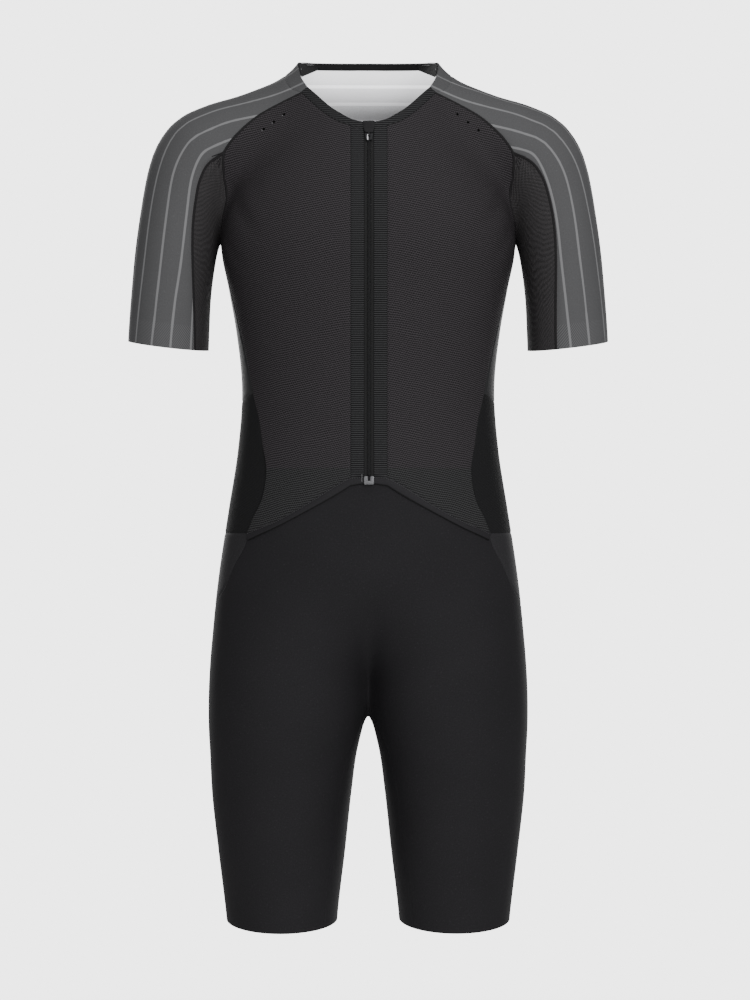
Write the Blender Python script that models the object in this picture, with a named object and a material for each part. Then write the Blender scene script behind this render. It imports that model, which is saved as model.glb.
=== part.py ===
"""Short-sleeved triathlon suit, filled out as worn, hollow, with no wearer inside.

The cloth is cut in panels that lie on one smooth figure. The figure is a blend of three
tables of cross-sections: torso, legs and arms. Each seam is a short table of points that
are settled onto the figure, and each panel is the sheet between four seams, thickened
outwards into a wall. Panels that share a seam share its points and are parted by a gap.

Metres. +X is the side named _r, the front faces -Y, +Z is up. The origin is the centre
of the neck opening.
"""
import math

import bmesh
import bpy
import numpy as np

MM = 0.001

# Walls, measured outwards from the figure.
CLOTH_WALL = 1.2 * MM
TAPE_WALL = 1.0 * MM
SEAM_GAP = 0.3 * MM
SEAM_INSET = SEAM_GAP / 2
FLAP_LIFT = 1.6 * MM

# Ribs raised on the neck bands and the zip bands.
RIB_PITCH = 2.1 * MM
RIB_HEIGHT = 0.25 * MM

# Openings.
CUFF_HEIGHT = -0.2976
CUFF_SLOPE_ACROSS = 0.12
CUFF_SLOPE_BACK = 0.10
CUFF_CENTRE = 0.2225
HEM_HEIGHT = -0.9385
HEM_SLOPE_BACK = 0.09
SLEEVE_TWIST = 11.0

# The crease beside the sleeve starts below this height. Its bottom is found by shrinking steps.
CREASE_TOP = -0.120
CREASE_STEP = 1.5 * MM
CREASE_SHRINK = 0.93
CREASE_ROUNDS = 60

# Waist edge of the shorts under the front panels, and where the panels start to lift.
WAIST_FRONT = -0.436
LIFT_START = -0.392

# Zip, at the centre front.
CHAIN_HALF = 2.0 * MM
CHAIN_THICK = 1.7 * MM
TAPE_IN = 2.3 * MM
FACING_IN = 5.0 * MM
FACING_OUT = 19.8 * MM
CHAIN_BOTTOM = -0.4436

# Slider, parked at the top of the chain. Distances run along the cloth and out from it.
SLIDER_DOWN = 18.0 * MM
SLIDER_LENGTH = 10.0 * MM
POST_LENGTH = 1.8 * MM
PLATE_OUT = 2.0 * MM
PLATE_BEHIND = 0.6 * MM
PLATE_WALL = 1.0 * MM
BAIL_HALF = 2.0 * MM
BAIL_ROOM = 1.75 * MM
PIVOT_UP = 0.6 * MM
PIVOT_OUT = PLATE_OUT + PLATE_WALL + 0.95 * MM
GARAGE_WALL = 0.8 * MM

# Section of the garage from inside the neck, over its edge, and down over the slider.
GARAGE = {
    "columns": ("down", "off", "half"),
    "rows": (
        (0.0050, -0.0004, 0.0055),
        (0.0000, -0.0005, 0.0060),
        (-0.0012, 0.0001, 0.0062),
        (-0.0012, 0.0012, 0.0063),
        (0.0000, 0.0018, 0.0064),
        (0.0060, 0.0017, 0.0060),
        (0.0110, 0.0034, 0.0052),
        (0.0144, 0.0035, 0.0044),
    ),
}

# Half outline of the box at the zip's lower end, from its slot round to its foot.
BOX_OUTLINE = (
    (1.4 * MM, -0.5 * MM),
    (1.4 * MM, 4.6 * MM),
    (4.9 * MM, 4.8 * MM),
    (5.6 * MM, 3.8 * MM),
    (5.6 * MM, -3.6 * MM),
    (4.4 * MM, -4.8 * MM),
)

TORSO = {
    "columns": ("height", "half", "front", "back", "square"),
    "rows": (
        (0.060, 0.0690, 0.050, 0.050, 2.0),
        (0.028, 0.0700, 0.056, 0.056, 2.0),
        (0.010, 0.0735, 0.061, 0.062, 2.0),
        (-0.010, 0.0810, 0.067, 0.069, 2.0),
        (-0.040, 0.0960, 0.078, 0.082, 2.05),
        (-0.070, 0.1170, 0.092, 0.095, 2.1),
        (-0.110, 0.1430, 0.107, 0.106, 2.2),
        (-0.150, 0.1580, 0.115, 0.112, 2.3),
        (-0.190, 0.1625, 0.117, 0.112, 2.35),
        (-0.235, 0.1546, 0.113, 0.106, 2.35),
        (-0.280, 0.1467, 0.108, 0.098, 2.3),
        (-0.347, 0.1400, 0.102, 0.088, 2.3),
        (-0.414, 0.1445, 0.102, 0.088, 2.3),
        (-0.482, 0.1550, 0.105, 0.099, 2.3),
        (-0.549, 0.1652, 0.106, 0.113, 2.3),
        (-0.616, 0.1730, 0.104, 0.124, 2.3),
        (-0.660, 0.1764, 0.100, 0.122, 2.3),
        (-0.720, 0.1770, 0.092, 0.105, 2.3),
    ),
}

LEG = {
    "columns": ("height", "centre", "half", "front", "back", "square"),
    "rows": (
        (-0.540, 0.0840, 0.0800, 0.1000, 0.112, 2.2),
        (-0.600, 0.0865, 0.0838, 0.1000, 0.122, 2.2),
        (-0.650, 0.0885, 0.0868, 0.0990, 0.124, 2.2),
        (-0.690, 0.0895, 0.0877, 0.0980, 0.115, 2.2),
        (-0.728, 0.0927, 0.0843, 0.0955, 0.101, 2.15),
        (-0.750, 0.0946, 0.0812, 0.0940, 0.094, 2.1),
        (-0.795, 0.0966, 0.0770, 0.0890, 0.086, 2.1),
        (-0.862, 0.0966, 0.0697, 0.0810, 0.077, 2.05),
        (-0.930, 0.0965, 0.0616, 0.0720, 0.068, 2.0),
        (-0.970, 0.0960, 0.0580, 0.0680, 0.064, 2.0),
    ),
}

# The arm's axis runs from the neck over the shoulder and down to the cuff.
ARM = {
    "columns": ("across", "height", "depth", "radius", "deep"),
    "rows": (
        (0.0240, -0.0220, 0.004, 0.0490, 0.0560),
        (0.0580, -0.0375, 0.004, 0.0490, 0.0560),
        (0.0920, -0.0525, 0.004, 0.0495, 0.0560),
        (0.1290, -0.0670, 0.004, 0.0500, 0.0570),
        (0.1660, -0.0805, 0.003, 0.0520, 0.0580),
        (0.1820, -0.0885, 0.002, 0.0520, 0.0580),
        (0.1900, -0.0995, 0.001, 0.0515, 0.0570),
        (0.1970, -0.1145, 0.000, 0.0495, 0.0560),
        (0.2027, -0.1330, -0.001, 0.0475, 0.0550),
        (0.2075, -0.1540, -0.002, 0.0460, 0.0540),
        (0.2150, -0.1960, -0.004, 0.0442, 0.0522),
        (0.2197, -0.2390, -0.006, 0.0433, 0.0505),
        (0.2222, -0.2810, -0.008, 0.0438, 0.0490),
        (0.2240, -0.3300, -0.009, 0.0440, 0.0480),
    ),
}

# No arm below this height.
ARM_REACH = -0.36

# Soft fullness and hollows cut into the torso: angle from the side, towards the back.
SHAPING = {
    "columns": ("angle", "height", "out", "wide", "high"),
    "rows": (
        (-50.0, -0.165, 0.0050, 28.0, 0.060),
        (50.0, -0.130, 0.0050, 28.0, 0.065),
        (90.0, -0.300, -0.0040, 16.0, 0.150),
    ),
}


def column(table, name):
    return np.array([row[table["columns"].index(name)] for row in table["rows"]], float)


def spline(knots, values, at):
    """A smooth curve through values at increasing knots, held level past its ends."""
    steps = np.diff(knots)
    slopes = np.diff(values, axis=0) / (steps if values.ndim == 1 else steps[:, None])
    tangents = np.empty_like(values)
    tangents[0] = slopes[0]
    tangents[-1] = slopes[-1]
    before = steps[:-1] if values.ndim == 1 else steps[:-1, None]
    after = steps[1:] if values.ndim == 1 else steps[1:, None]
    tangents[1:-1] = (slopes[:-1] * after + slopes[1:] * before) / (before + after)
    at = np.clip(at, knots[0], knots[-1])
    index = np.clip(np.searchsorted(knots, at, side="right") - 1, 0, len(knots) - 2)
    width = steps[index]
    share = (at - knots[index]) / width
    if values.ndim > 1:
        width = width[..., None]
        share = share[..., None]
    return (
        (2 * share**3 - 3 * share**2 + 1) * values[index]
        + (share**3 - 2 * share**2 + share) * width * tangents[index]
        + (3 * share**2 - 2 * share**3) * values[index + 1]
        + (share**3 - share**2) * width * tangents[index + 1]
    )


def by_height(table, name, height):
    return spline(column(table, "height")[::-1], column(table, name)[::-1], height)


def ramp(share):
    share = np.clip(share, 0.0, 1.0)
    return share * share * (3 - 2 * share)


def blend(a, b, width):
    """The union of two shapes with a fillet of this width."""
    share = np.clip(0.5 + 0.5 * (b - a) / width, 0.0, 1.0)
    return b + (a - b) * share - width * share * (1 - share)


def ring_radius(sine, cosine, half, front, back, square):
    """Radius of a rounded section, where sine points to +X and cosine to +Y."""
    deep = 0.5 * (front + back) + 0.5 * (back - front) * cosine
    powers = (np.abs(sine) / half) ** square + (np.abs(cosine) / deep) ** square
    return np.maximum(powers, 1e-9) ** (-1 / square)


def section(table, x, y, height, names):
    far = np.hypot(x, y) + 1e-9
    sizes = [by_height(table, name, height) for name in names]
    return far - ring_radius(x / far, y / far, *sizes)


def torso_field(x, y, z):
    field = section(TORSO, x, y, z, TORSO["columns"][1:])
    angle = np.degrees(np.arctan2(y, np.abs(x)))
    for middle, height, out, wide, high in SHAPING["rows"]:
        field = field - out * np.exp(-(((angle - middle) / wide) ** 2) - ((z - height) / high) ** 2)
    return field


def leg_field(x, y, z):
    centre = by_height(LEG, "centre", z)
    right = section(LEG, x - centre, y, z, LEG["columns"][2:])
    left = section(LEG, x + centre, y, z, LEG["columns"][2:])
    return blend(left, right, 0.020)


def arm_axis(steps=64):
    """Points along the arm's axis at even steps, with the section sizes there."""
    across = column(ARM, "across")
    height = column(ARM, "height")
    run = np.concatenate([[0.0], np.cumsum(np.hypot(np.diff(across), np.diff(height)))])
    along = np.linspace(0.0, run[-1], steps)
    return along, [spline(run, column(ARM, name), along) for name in ARM["columns"]]


ARM_ALONG, (ARM_X, ARM_Z, ARM_Y, ARM_RADIUS, ARM_DEEP) = arm_axis()


def arm_place(x, y, z):
    """Distance along the arm's axis, and outwards and backwards from it."""
    best = np.full(x.shape, 1e9)
    along = np.zeros(x.shape)
    out = np.zeros(x.shape)
    for i in range(len(ARM_ALONG) - 1):
        run_x = ARM_X[i + 1] - ARM_X[i]
        run_z = ARM_Z[i + 1] - ARM_Z[i]
        length = math.hypot(run_x, run_z)
        from_x = x - ARM_X[i]
        from_z = z - ARM_Z[i]
        share = np.clip((from_x * run_x + from_z * run_z) / length**2, 0.0, 1.0)
        gap = (from_x - share * run_x) ** 2 + (from_z - share * run_z) ** 2
        nearer = gap < best
        best = np.where(nearer, gap, best)
        along = np.where(nearer, ARM_ALONG[i] + share * length, along)
        side = np.sign(from_z * run_x - from_x * run_z)
        out = np.where(nearer, side * np.sqrt(gap), out)
    return along, out, y - np.interp(along, ARM_ALONG, ARM_Y)


def arm_field(x, y, z):
    along, out, back = arm_place(np.abs(x), y, z)
    far = np.hypot(out, back) + 1e-9
    radius = np.interp(along, ARM_ALONG, ARM_RADIUS)
    deep = np.interp(along, ARM_ALONG, ARM_DEEP)
    return far - 1 / np.hypot(out / far / radius, back / far / deep)


def trunk_field(x, y, z):
    share = ramp((-0.545 - z) / 0.13)
    return torso_field(x, y, z) * (1 - share) + leg_field(x, y, z) * share


def figure(points):
    """Below zero inside the figure and above zero outside it."""
    x, y, z = np.moveaxis(np.atleast_2d(points), -1, 0)
    field = trunk_field(x, y, z)
    near = z > ARM_REACH
    if near.any():
        x, y, z = x[near], y[near], z[near]
        fillet = 0.009 + 0.023 * ramp((z + 0.185) / 0.08)
        field[near] = blend(field[near], arm_field(x, y, z), fillet)
    return field.reshape(np.shape(points)[:-1])


def gradient(points, step=0.0002):
    slopes = []
    for axis in range(3):
        move = np.zeros(3)
        move[axis] = step
        slopes.append((figure(points + move) - figure(points - move)) / (2 * step))
    return np.stack(slopes, axis=-1)


def settle(points, rounds=7):
    """Moves points onto the figure along its own slope."""
    points = np.array(points, float)
    for _ in range(rounds):
        slope = gradient(points)
        size = (slope**2).sum(axis=-1, keepdims=True)
        move = figure(points)[..., None] * slope / np.maximum(size, 0.05)
        reach = np.linalg.norm(move, axis=-1, keepdims=True)
        points = points - move * np.minimum(1.0, 0.02 / np.maximum(reach, 1e-9))
    return points


def outward(points):
    slope = gradient(points)
    return slope / np.linalg.norm(slope, axis=-1, keepdims=True)


def into_crease(rows):
    """Slides the lower points of an armhole to the bottom of the crease beside the sleeve."""
    points = settle(rows)
    low = points[:, 2] < CREASE_TOP
    for step in CREASE_STEP * CREASE_SHRINK ** np.arange(CREASE_ROUNDS):
        found = points[low]
        slope = gradient(found)
        found[:, 0] += step * slope[:, 0] / np.linalg.norm(slope, axis=-1)
        slope[:, 0] = 0.0
        size = (slope**2).sum(axis=-1, keepdims=True)
        move = figure(found)[:, None] * slope / np.maximum(size, 0.05)
        points[low] = found - np.clip(move, -CREASE_STEP, CREASE_STEP)
    return points


def on_centre(points):
    points = settle(points)
    points[..., 0] = 0.0
    return points


def on_front(x, z):
    """Points of the front surface at these distances across and heights."""
    x, z = np.broadcast_arrays(np.asarray(x, float), np.asarray(z, float))
    inside = np.full(x.shape, -0.02)
    outside = np.full(x.shape, -0.20)
    for _ in range(30):
        middle = (inside + outside) / 2
        within = figure(np.stack([x, middle, z], axis=-1)) < 0
        inside = np.where(within, middle, inside)
        outside = np.where(within, outside, middle)
    return np.stack([x, inside, z], axis=-1)


def on_torso(height, angle):
    """Points of the torso at these heights, at an angle turned from the front to +X."""
    height = np.asarray(height, float)
    turn = np.radians(np.asarray(angle, float))
    sizes = [by_height(TORSO, name, height) for name in TORSO["columns"][1:]]
    radius = ring_radius(np.sin(turn), -np.cos(turn), *sizes)
    guess = np.stack([radius * np.sin(turn), -radius * np.cos(turn), height], axis=-1)
    for _ in range(4):
        guess = settle(guess, rounds=3)
        guess[..., 2] = height
    return guess


def on_plane(points, height, across, back, centre=0.0):
    """Settles points where the figure meets a sloping plane, as at a hem."""
    for _ in range(8):
        points = settle(points, rounds=2)
        points[..., 2] = height + across * (points[..., 0] - centre) + back * points[..., 1]
    return points


def on_cuff(points):
    return on_plane(points, CUFF_HEIGHT, CUFF_SLOPE_ACROSS, CUFF_SLOPE_BACK, CUFF_CENTRE)


def on_hem(points):
    return on_plane(points, HEM_HEIGHT, 0.0, HEM_SLOPE_BACK)


def along_curve(points, pieces):
    """The curve through these points, cut into even pieces."""
    points = np.asarray(points, float)
    run = np.concatenate([[0.0], np.cumsum(np.linalg.norm(np.diff(points, axis=0), axis=1))])
    return spline(run, points, np.linspace(0.0, run[-1], pieces + 1))


def seam(rows, pieces=None):
    """A seam through rows of x, y and z, at its rows or cut into even pieces."""
    points = np.array(rows, float)
    if pieces:
        points = along_curve(settle(points), pieces)
    return settle(points)


def join(*curves):
    """Seams laid end to end, each starting where the last one ends."""
    return np.concatenate([curves[0]] + [curve[1:] for curve in curves[1:]])


def split(curve, pieces):
    """The same chords with points added on the longest ones until there are this many."""
    points = [tuple(point) for point in curve]
    counts = [1] * (len(points) - 1)
    lengths = [math.dist(points[i], points[i + 1]) for i in range(len(counts))]
    while sum(counts) < pieces:
        longest = max(range(len(counts)), key=lambda i: lengths[i] / counts[i])
        counts[longest] += 1
    filled = [points[0]]
    for i, count in enumerate(counts):
        for step in range(1, count + 1):
            share = step / count
            filled.append(tuple(a + (b - a) * share for a, b in zip(points[i], points[i + 1])))
    return np.array(filled)


def relax(grid, rounds):
    """Evens out the points inside a grid along the figure."""
    for _ in range(rounds):
        around = grid[:-2, 1:-1] + grid[2:, 1:-1] + grid[1:-1, :-2] + grid[1:-1, 2:]
        grid[1:-1, 1:-1] = settle(0.3 * grid[1:-1, 1:-1] + 0.175 * around, rounds=1)
    grid[1:-1, 1:-1] = settle(grid[1:-1, 1:-1], rounds=3)
    return grid


def sheet(start, end, top, bottom, rounds=30):
    """The grid of points on the figure between four seams, one row for each point of start."""
    rows = len(start)
    columns = len(top)
    v = np.linspace(0.0, 1.0, rows)[:, None, None]
    u = np.linspace(0.0, 1.0, columns)[None, :, None]
    grid = (1 - u) * start[:, None] + u * end[:, None] + (1 - v) * top[None] + v * bottom[None]
    grid = grid - (1 - u) * (1 - v) * top[0] - u * (1 - v) * top[-1]
    grid = grid - (1 - u) * v * bottom[0] - u * v * bottom[-1]
    grid[1:-1, 1:-1] = settle(grid[1:-1, 1:-1])
    return relax(grid, rounds)


def inset(grid, sides):
    """Draws the named sides of a grid in by half a seam's gap."""
    moved = grid.copy()
    edges = {
        "start": ((slice(None), 0), (slice(None), 1)),
        "end": ((slice(None), -1), (slice(None), -2)),
        "top": ((0, slice(None)), (1, slice(None))),
        "bottom": ((-1, slice(None)), (-2, slice(None))),
    }
    for side in sides:
        edge, next_in = edges[side]
        line = grid[edge]
        inwards = np.cross(np.gradient(line, axis=0), outward(line))
        inwards /= np.linalg.norm(inwards, axis=-1, keepdims=True)
        inwards *= np.sign((inwards * (grid[next_in] - line)).sum(axis=-1, keepdims=True))
        moved[edge] = moved[edge] + SEAM_INSET * inwards
    return moved


ALL_SIDES = ("start", "end", "top", "bottom")


def lift(points):
    """How far the front panels stand off the figure, where they cover the shorts."""
    return FLAP_LIFT * ramp((LIFT_START - points[..., 2]) / (LIFT_START - WAIST_FRONT - 0.004))


def mirrored(points):
    return points * np.array([-1.0, 1.0, 1.0])


def material(name, colour, roughness, metallic=0.0):
    made = bpy.data.materials.new(name)
    made.use_nodes = True
    shader = made.node_tree.nodes["Principled BSDF"]
    shader.inputs["Base Color"].default_value = (*colour, 1.0)
    shader.inputs["Roughness"].default_value = roughness
    shader.inputs["Metallic"].default_value = metallic
    made.diffuse_color = (*colour, 1.0)
    return made


def add_object(name, points, faces, made):
    mesh = bpy.data.meshes.new(name)
    mesh.from_pydata([tuple(point) for point in points], [], [tuple(face) for face in faces])
    mesh.materials.append(made)
    mesh.shade_smooth()
    mesh.set_sharp_from_angle(angle=math.radians(40))
    piece = bpy.data.objects.new(name, mesh)
    bpy.context.scene.collection.objects.link(piece)
    return piece


def wall(
    name, grid, made, seams=None, inner=0.0, outer=CLOTH_WALL, raised=False, weld=None, flip=False
):
    """A closed wall on a grid, square to the figure at its seams, which lie just outside it.

    weld mirrors the wall across the centre down to that row.
    """
    base = grid.reshape(-1, 3)
    normals = outward(settle((grid if seams is None else seams).reshape(-1, 3), rounds=2))
    rows, columns = grid.shape[:2]
    index = np.arange(rows * columns).reshape(rows, columns)
    quads = np.stack([index[:-1, :-1], index[1:, :-1], index[1:, 1:], index[:-1, 1:]], axis=-1)
    quads = quads.reshape(-1, 4)
    off = lift(base)[:, None] if raised else 0.0
    if weld is not None:
        shared = set(index[: weld + 1, 0])
        normals[list(shared), 0] = 0.0
        normals /= np.linalg.norm(normals, axis=-1, keepdims=True)
        others = [i for i in range(len(base)) if i not in shared]
        image = np.arange(len(base))
        image[others] = len(base) + np.arange(len(others))
        quads = np.concatenate([quads, image[quads][:, ::-1]])
        base = np.concatenate([base, mirrored(base[others])])
        normals = np.concatenate([normals, mirrored(normals[others])])
        off = lift(base)[:, None] if raised else 0.0
    if flip:
        base = mirrored(base)
        normals = mirrored(normals)
        quads = quads[:, ::-1]
    facets = facets_of(quads, base)
    return solid(name, base + normals * (off + outer), base + normals * (off + inner), facets, made)


def facets_of(quads, points):
    """Each quad as two triangles, cut along the diagonal that lies nearer the figure."""
    first = np.abs(figure((points[quads[:, 0]] + points[quads[:, 2]]) / 2))
    second = np.abs(figure((points[quads[:, 1]] + points[quads[:, 3]]) / 2))
    turned = np.where((first <= second)[:, None], quads, np.roll(quads, -1, axis=1))
    return np.concatenate([turned[:, [0, 1, 2]], turned[:, [0, 2, 3]]])


def solid(name, outside, inside, facets, made):
    """Closes two matching skins with a rim round their free edges."""
    count = len(outside)
    first = outside[facets[:, 1]] - outside[facets[:, 0]]
    second = outside[facets[:, 2]] - outside[facets[:, 0]]
    if (np.cross(first, second) * (outside - inside)[facets[:, 0]]).sum() < 0:
        facets = facets[:, ::-1]
    points = np.concatenate([outside, inside])
    directed = {(int(a), int(b)) for facet in facets for a, b in zip(facet, np.roll(facet, -1))}
    faces = [tuple(map(int, facet)) for facet in facets]
    faces += [tuple(int(i) + count for i in facet[::-1]) for facet in facets]
    for a, b in sorted(directed):
        if (b, a) not in directed:
            faces += rim_facets(a, b, count, outside)
    return add_object(name, points, faces, made)


def rim_facets(a, b, count, points):
    """Two facets of a rim, cut from their lower end so that the next panel's rim matches."""
    if points[a][2] < points[b][2]:
        return [(b, a, b + count), (a, a + count, b + count)]
    return [(b, a, a + count), (b, a + count, b + count)]


def ribbed_wall(name, grid, made, seams, raised=False, flip=False):
    """A wall with ribs across its rows raised on its outer face, over a plain inner face."""
    rows, columns = grid.shape[:2]
    normals = outward(settle(seams.reshape(-1, 3), rounds=2)).reshape(grid.shape)
    steps = np.linalg.norm(np.diff(grid, axis=0), axis=-1).mean(axis=1)
    run = np.concatenate([[0.0], np.cumsum(steps)])
    ribs = round(run[-1] / RIB_PITCH)
    place = np.interp(np.linspace(0.0, run[-1], 2 * ribs + 1), run, np.arange(rows))
    before = np.minimum(place.astype(int), rows - 2)
    share = (place - before)[:, None, None]
    fine = grid[before] * (1 - share) + grid[before + 1] * share
    fine_normals = normals[before] * (1 - share) + normals[before + 1] * share
    fine_normals /= np.linalg.norm(fine_normals, axis=-1, keepdims=True)
    height = CLOTH_WALL + RIB_HEIGHT * (np.arange(2 * ribs + 1) % 2)[:, None]
    outside = fine + fine_normals * (height + (lift(fine) if raised else 0.0))[..., None]
    inside = grid + normals * (lift(grid) if raised else np.zeros((rows, columns)))[..., None]
    outer = np.arange(outside.size // 3).reshape(-1, columns)
    inner = outer.size + np.arange(rows * columns).reshape(rows, columns)
    points = np.concatenate([outside.reshape(-1, 3), inside.reshape(-1, 3)])
    facets = []
    for index in (outer, inner):
        quads = np.stack([index[:-1, :-1], index[1:, :-1], index[1:, 1:], index[:-1, 1:]], axis=-1)
        facets += facets_of(quads.reshape(-1, 4), points).tolist()
    for edge in (0, -1):
        facets += strip_facets(outer[edge], inner[edge], np.arange(columns), np.arange(columns))
        line = outer[:, edge]
        facets += np.stack([line[:-2:2], line[1::2], line[2::2]], axis=-1).tolist()
        facets += strip_facets(line[::2], inner[:, edge], place[::2], np.arange(rows))
    piece = add_object(name, mirrored(points) if flip else points, facets, made)
    form = bmesh.new()
    form.from_mesh(piece.data)
    bmesh.ops.recalc_face_normals(form, faces=form.faces)
    form.to_mesh(piece.data)
    form.free()


def strip_facets(first, second, places, others):
    """Facets between two edges whose points need not match, in the order of their places."""
    facets = []
    i = 0
    j = 0
    while i < len(first) - 1 or j < len(second) - 1:
        if j == len(second) - 1 or (i < len(first) - 1 and places[i + 1] <= others[j + 1]):
            facets.append((int(first[i]), int(first[i + 1]), int(second[j])))
            i += 1
        else:
            facets.append((int(first[i]), int(second[j + 1]), int(second[j])))
            j += 1
    return facets


def ribbed_pair(name, grid, made, **settings):
    """A ribbed panel and its mirror image, each in its own node."""
    drawn = inset(grid, ALL_SIDES)
    ribbed_wall(name + "_r", drawn, made, grid, **settings)
    ribbed_wall(name + "_l", drawn, made, grid, flip=True, **settings)


def pair(name, grid, made, sides=ALL_SIDES, **settings):
    """A panel and its mirror image, each in its own node."""
    drawn = inset(grid, sides)
    wall(name + "_r", drawn, made, grid, **settings)
    wall(name + "_l", drawn, made, grid, flip=True, **settings)


# ---------------------------------------------------------------- seams

NECK_FRONT = (
    (0.0050, -0.0873, -0.0603),
    (0.0198, -0.0845, -0.0556),
    (0.0288, -0.0800, -0.0503),
    (0.0388, -0.0741, -0.0433),
    (0.0470, -0.0690, -0.0360),
    (0.0560, -0.0635, -0.0270),
    (0.0671, -0.0541, -0.0162),
)
NECK_SHOULDER = (
    (0.0671, -0.0541, -0.0162),
    (0.0726, -0.0444, -0.0068),
    (0.0757, -0.0255, 0.0065),
    (0.0745, -0.0070, 0.0138),
    (0.0700, 0.0120, 0.0185),
)
NECK_BACK = (
    (0.0000, 0.0610, 0.0290),
    (0.0230, 0.0585, 0.0286),
    (0.0440, 0.0500, 0.0272),
    (0.0610, 0.0330, 0.0238),
    (0.0700, 0.0120, 0.0185),
)
RAGLAN_FRONT = (
    (0.0671, -0.0541, -0.0162),
    (0.0747, -0.0534, -0.0221),
    (0.0950, -0.0493, -0.0315),
    (0.1205, -0.0497, -0.0455),
    (0.1390, -0.0528, -0.0608),
    (0.1520, -0.0540, -0.0750),
    (0.1600, -0.0540, -0.0870),
)
RAGLAN_BACK = (
    (0.0700, 0.0120, 0.0185),
    (0.0765, 0.0200, 0.0125),
    (0.0940, 0.0400, -0.0080),
    (0.1160, 0.0560, -0.0310),
    (0.1370, 0.0620, -0.0520),
    (0.1520, 0.0630, -0.0710),
    (0.1600, 0.0600, -0.0870),
)
ARMHOLE_FRONT = (
    (0.1600, -0.0540, -0.0870),
    (0.1615, -0.0450, -0.1100),
    (0.1620, -0.0335, -0.1360),
    (0.1630, -0.0240, -0.1590),
    (0.1655, -0.0180, -0.1740),
    (0.1690, -0.0120, -0.1830),
)
ARMHOLE_BACK = (
    (0.1600, 0.0600, -0.0870),
    (0.1620, 0.0520, -0.1100),
    (0.1630, 0.0400, -0.1360),
    (0.1640, 0.0300, -0.1590),
    (0.1660, 0.0220, -0.1740),
    (0.1690, 0.0140, -0.1830),
)
UNDERARM = (
    (0.1690, -0.0120, -0.1830),
    (0.1700, 0.0010, -0.1850),
    (0.1690, 0.0140, -0.1830),
)
SLEEVE_FRONT = (
    (0.1600, -0.0540, -0.0870),
    (0.1800, -0.0550, -0.1000),
    (0.1905, -0.0550, -0.1185),
    (0.1960, -0.0545, -0.1400),
    (0.1995, -0.0545, -0.1620),
    (0.2012, -0.0537, -0.1850),
    (0.2015, -0.0525, -0.2080),
    (0.2010, -0.0515, -0.2320),
    (0.2005, -0.0505, -0.2560),
    (0.2004, -0.0495, -0.2800),
    (0.2004, -0.0490, -0.3052),
)
SIDE_SEAM = (
    (0.1680, 0.0180, -0.5920),
    (0.1740, 0.0160, -0.6600),
    (0.1760, 0.0120, -0.7200),
    (0.1720, 0.0100, -0.8000),
    (0.1640, 0.0090, -0.8700),
    (0.1560, 0.0080, -0.9378),
)
CENTRE_FRONT = (
    (0.0, -0.105, WAIST_FRONT),
    (0.0, -0.105, -0.500),
    (0.0, -0.104, -0.560),
    (0.0, -0.100, -0.620),
    (0.0, -0.088, -0.670),
    (0.0, -0.066, -0.700),
    (0.0, -0.042, -0.712),
)
CENTRE_BACK = (
    (0.0, 0.100, -0.478),
    (0.0, 0.113, -0.540),
    (0.0, 0.122, -0.600),
    (0.0, 0.118, -0.650),
    (0.0, 0.095, -0.690),
    (0.0, 0.065, -0.708),
    (0.0, 0.042, -0.712),
)
GUSSET_FRONT = (
    (0.0000, -0.0420, -0.7120),
    (0.0157, -0.0411, -0.7306),
    (0.0268, -0.0509, -0.7594),
    (0.0339, -0.0544, -0.7915),
    (0.0376, -0.0514, -0.8298),
    (0.0428, -0.0502, -0.8696),
    (0.0488, -0.0486, -0.9145),
    (0.0510, -0.0470, -0.9420),
)

# Edges of the side panels: angle from the front at each height.
SIDE_FRONT = {
    "columns": ("height", "angle"),
    "rows": (
        (-0.206, 83.0),
        (-0.230, 81.0),
        (-0.254, 79.0),
        (-0.278, 77.0),
        (-0.302, 74.5),
        (-0.327, 72.0),
        (-0.353, 69.0),
        (-0.380, 64.2),
        (-0.408, 60.5),
        (-0.436, 56.6),
        (-0.454, 56.3),
        (-0.472, 57.4),
        (-0.490, 60.8),
        (-0.507, 63.2),
    ),
}
SIDE_BACK = {
    "columns": ("height", "angle"),
    "rows": (
        (-0.206, 97.0),
        (-0.230, 99.0),
        (-0.254, 101.0),
        (-0.278, 103.0),
        (-0.302, 105.5),
        (-0.327, 108.0),
        (-0.353, 111.0),
        (-0.380, 115.0),
        (-0.408, 118.5),
        (-0.436, 121.0),
        (-0.454, 121.5),
        (-0.472, 120.5),
        (-0.490, 118.0),
        (-0.507, 116.0),
    ),
}
HIP_SEAM = {
    "columns": ("height", "angle"),
    "rows": (
        (-0.513, 63.2),
        (-0.543, 69.0),
        (-0.567, 74.0),
        (-0.582, 81.0),
        (-0.592, 96.0),
        (-0.583, 105.0),
        (-0.562, 109.5),
        (-0.540, 113.2),
        (-0.513, 116.0),
    ),
}
UPPER_ROWS = 7
HIP_LOWEST = 4

# Pointed hem of the front panels: where its binding starts and ends, by distance across.
HEM_POINT = {
    "columns": ("across", "top", "bottom"),
    "rows": (
        (0.0000, -0.4453, -0.4535),
        (0.0050, -0.4453, -0.4535),
        (0.0198, -0.4466, -0.4556),
        (0.0320, -0.4525, -0.4635),
        (0.0650, -0.4735, -0.4820),
        (0.1010, -0.4938, -0.5010),
        (0.1302, -0.5070, -0.5150),
    ),
}


def backwards(rows):
    """The same seam on the back: each point's mirror across the arm's or the leg's middle."""
    return tuple((x, -y, z) for x, y, z in rows)


def torso_rows(table, first=0, last=None):
    heights = column(table, "height")[first:last]
    return on_torso(heights, column(table, "angle")[first:last])


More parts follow.
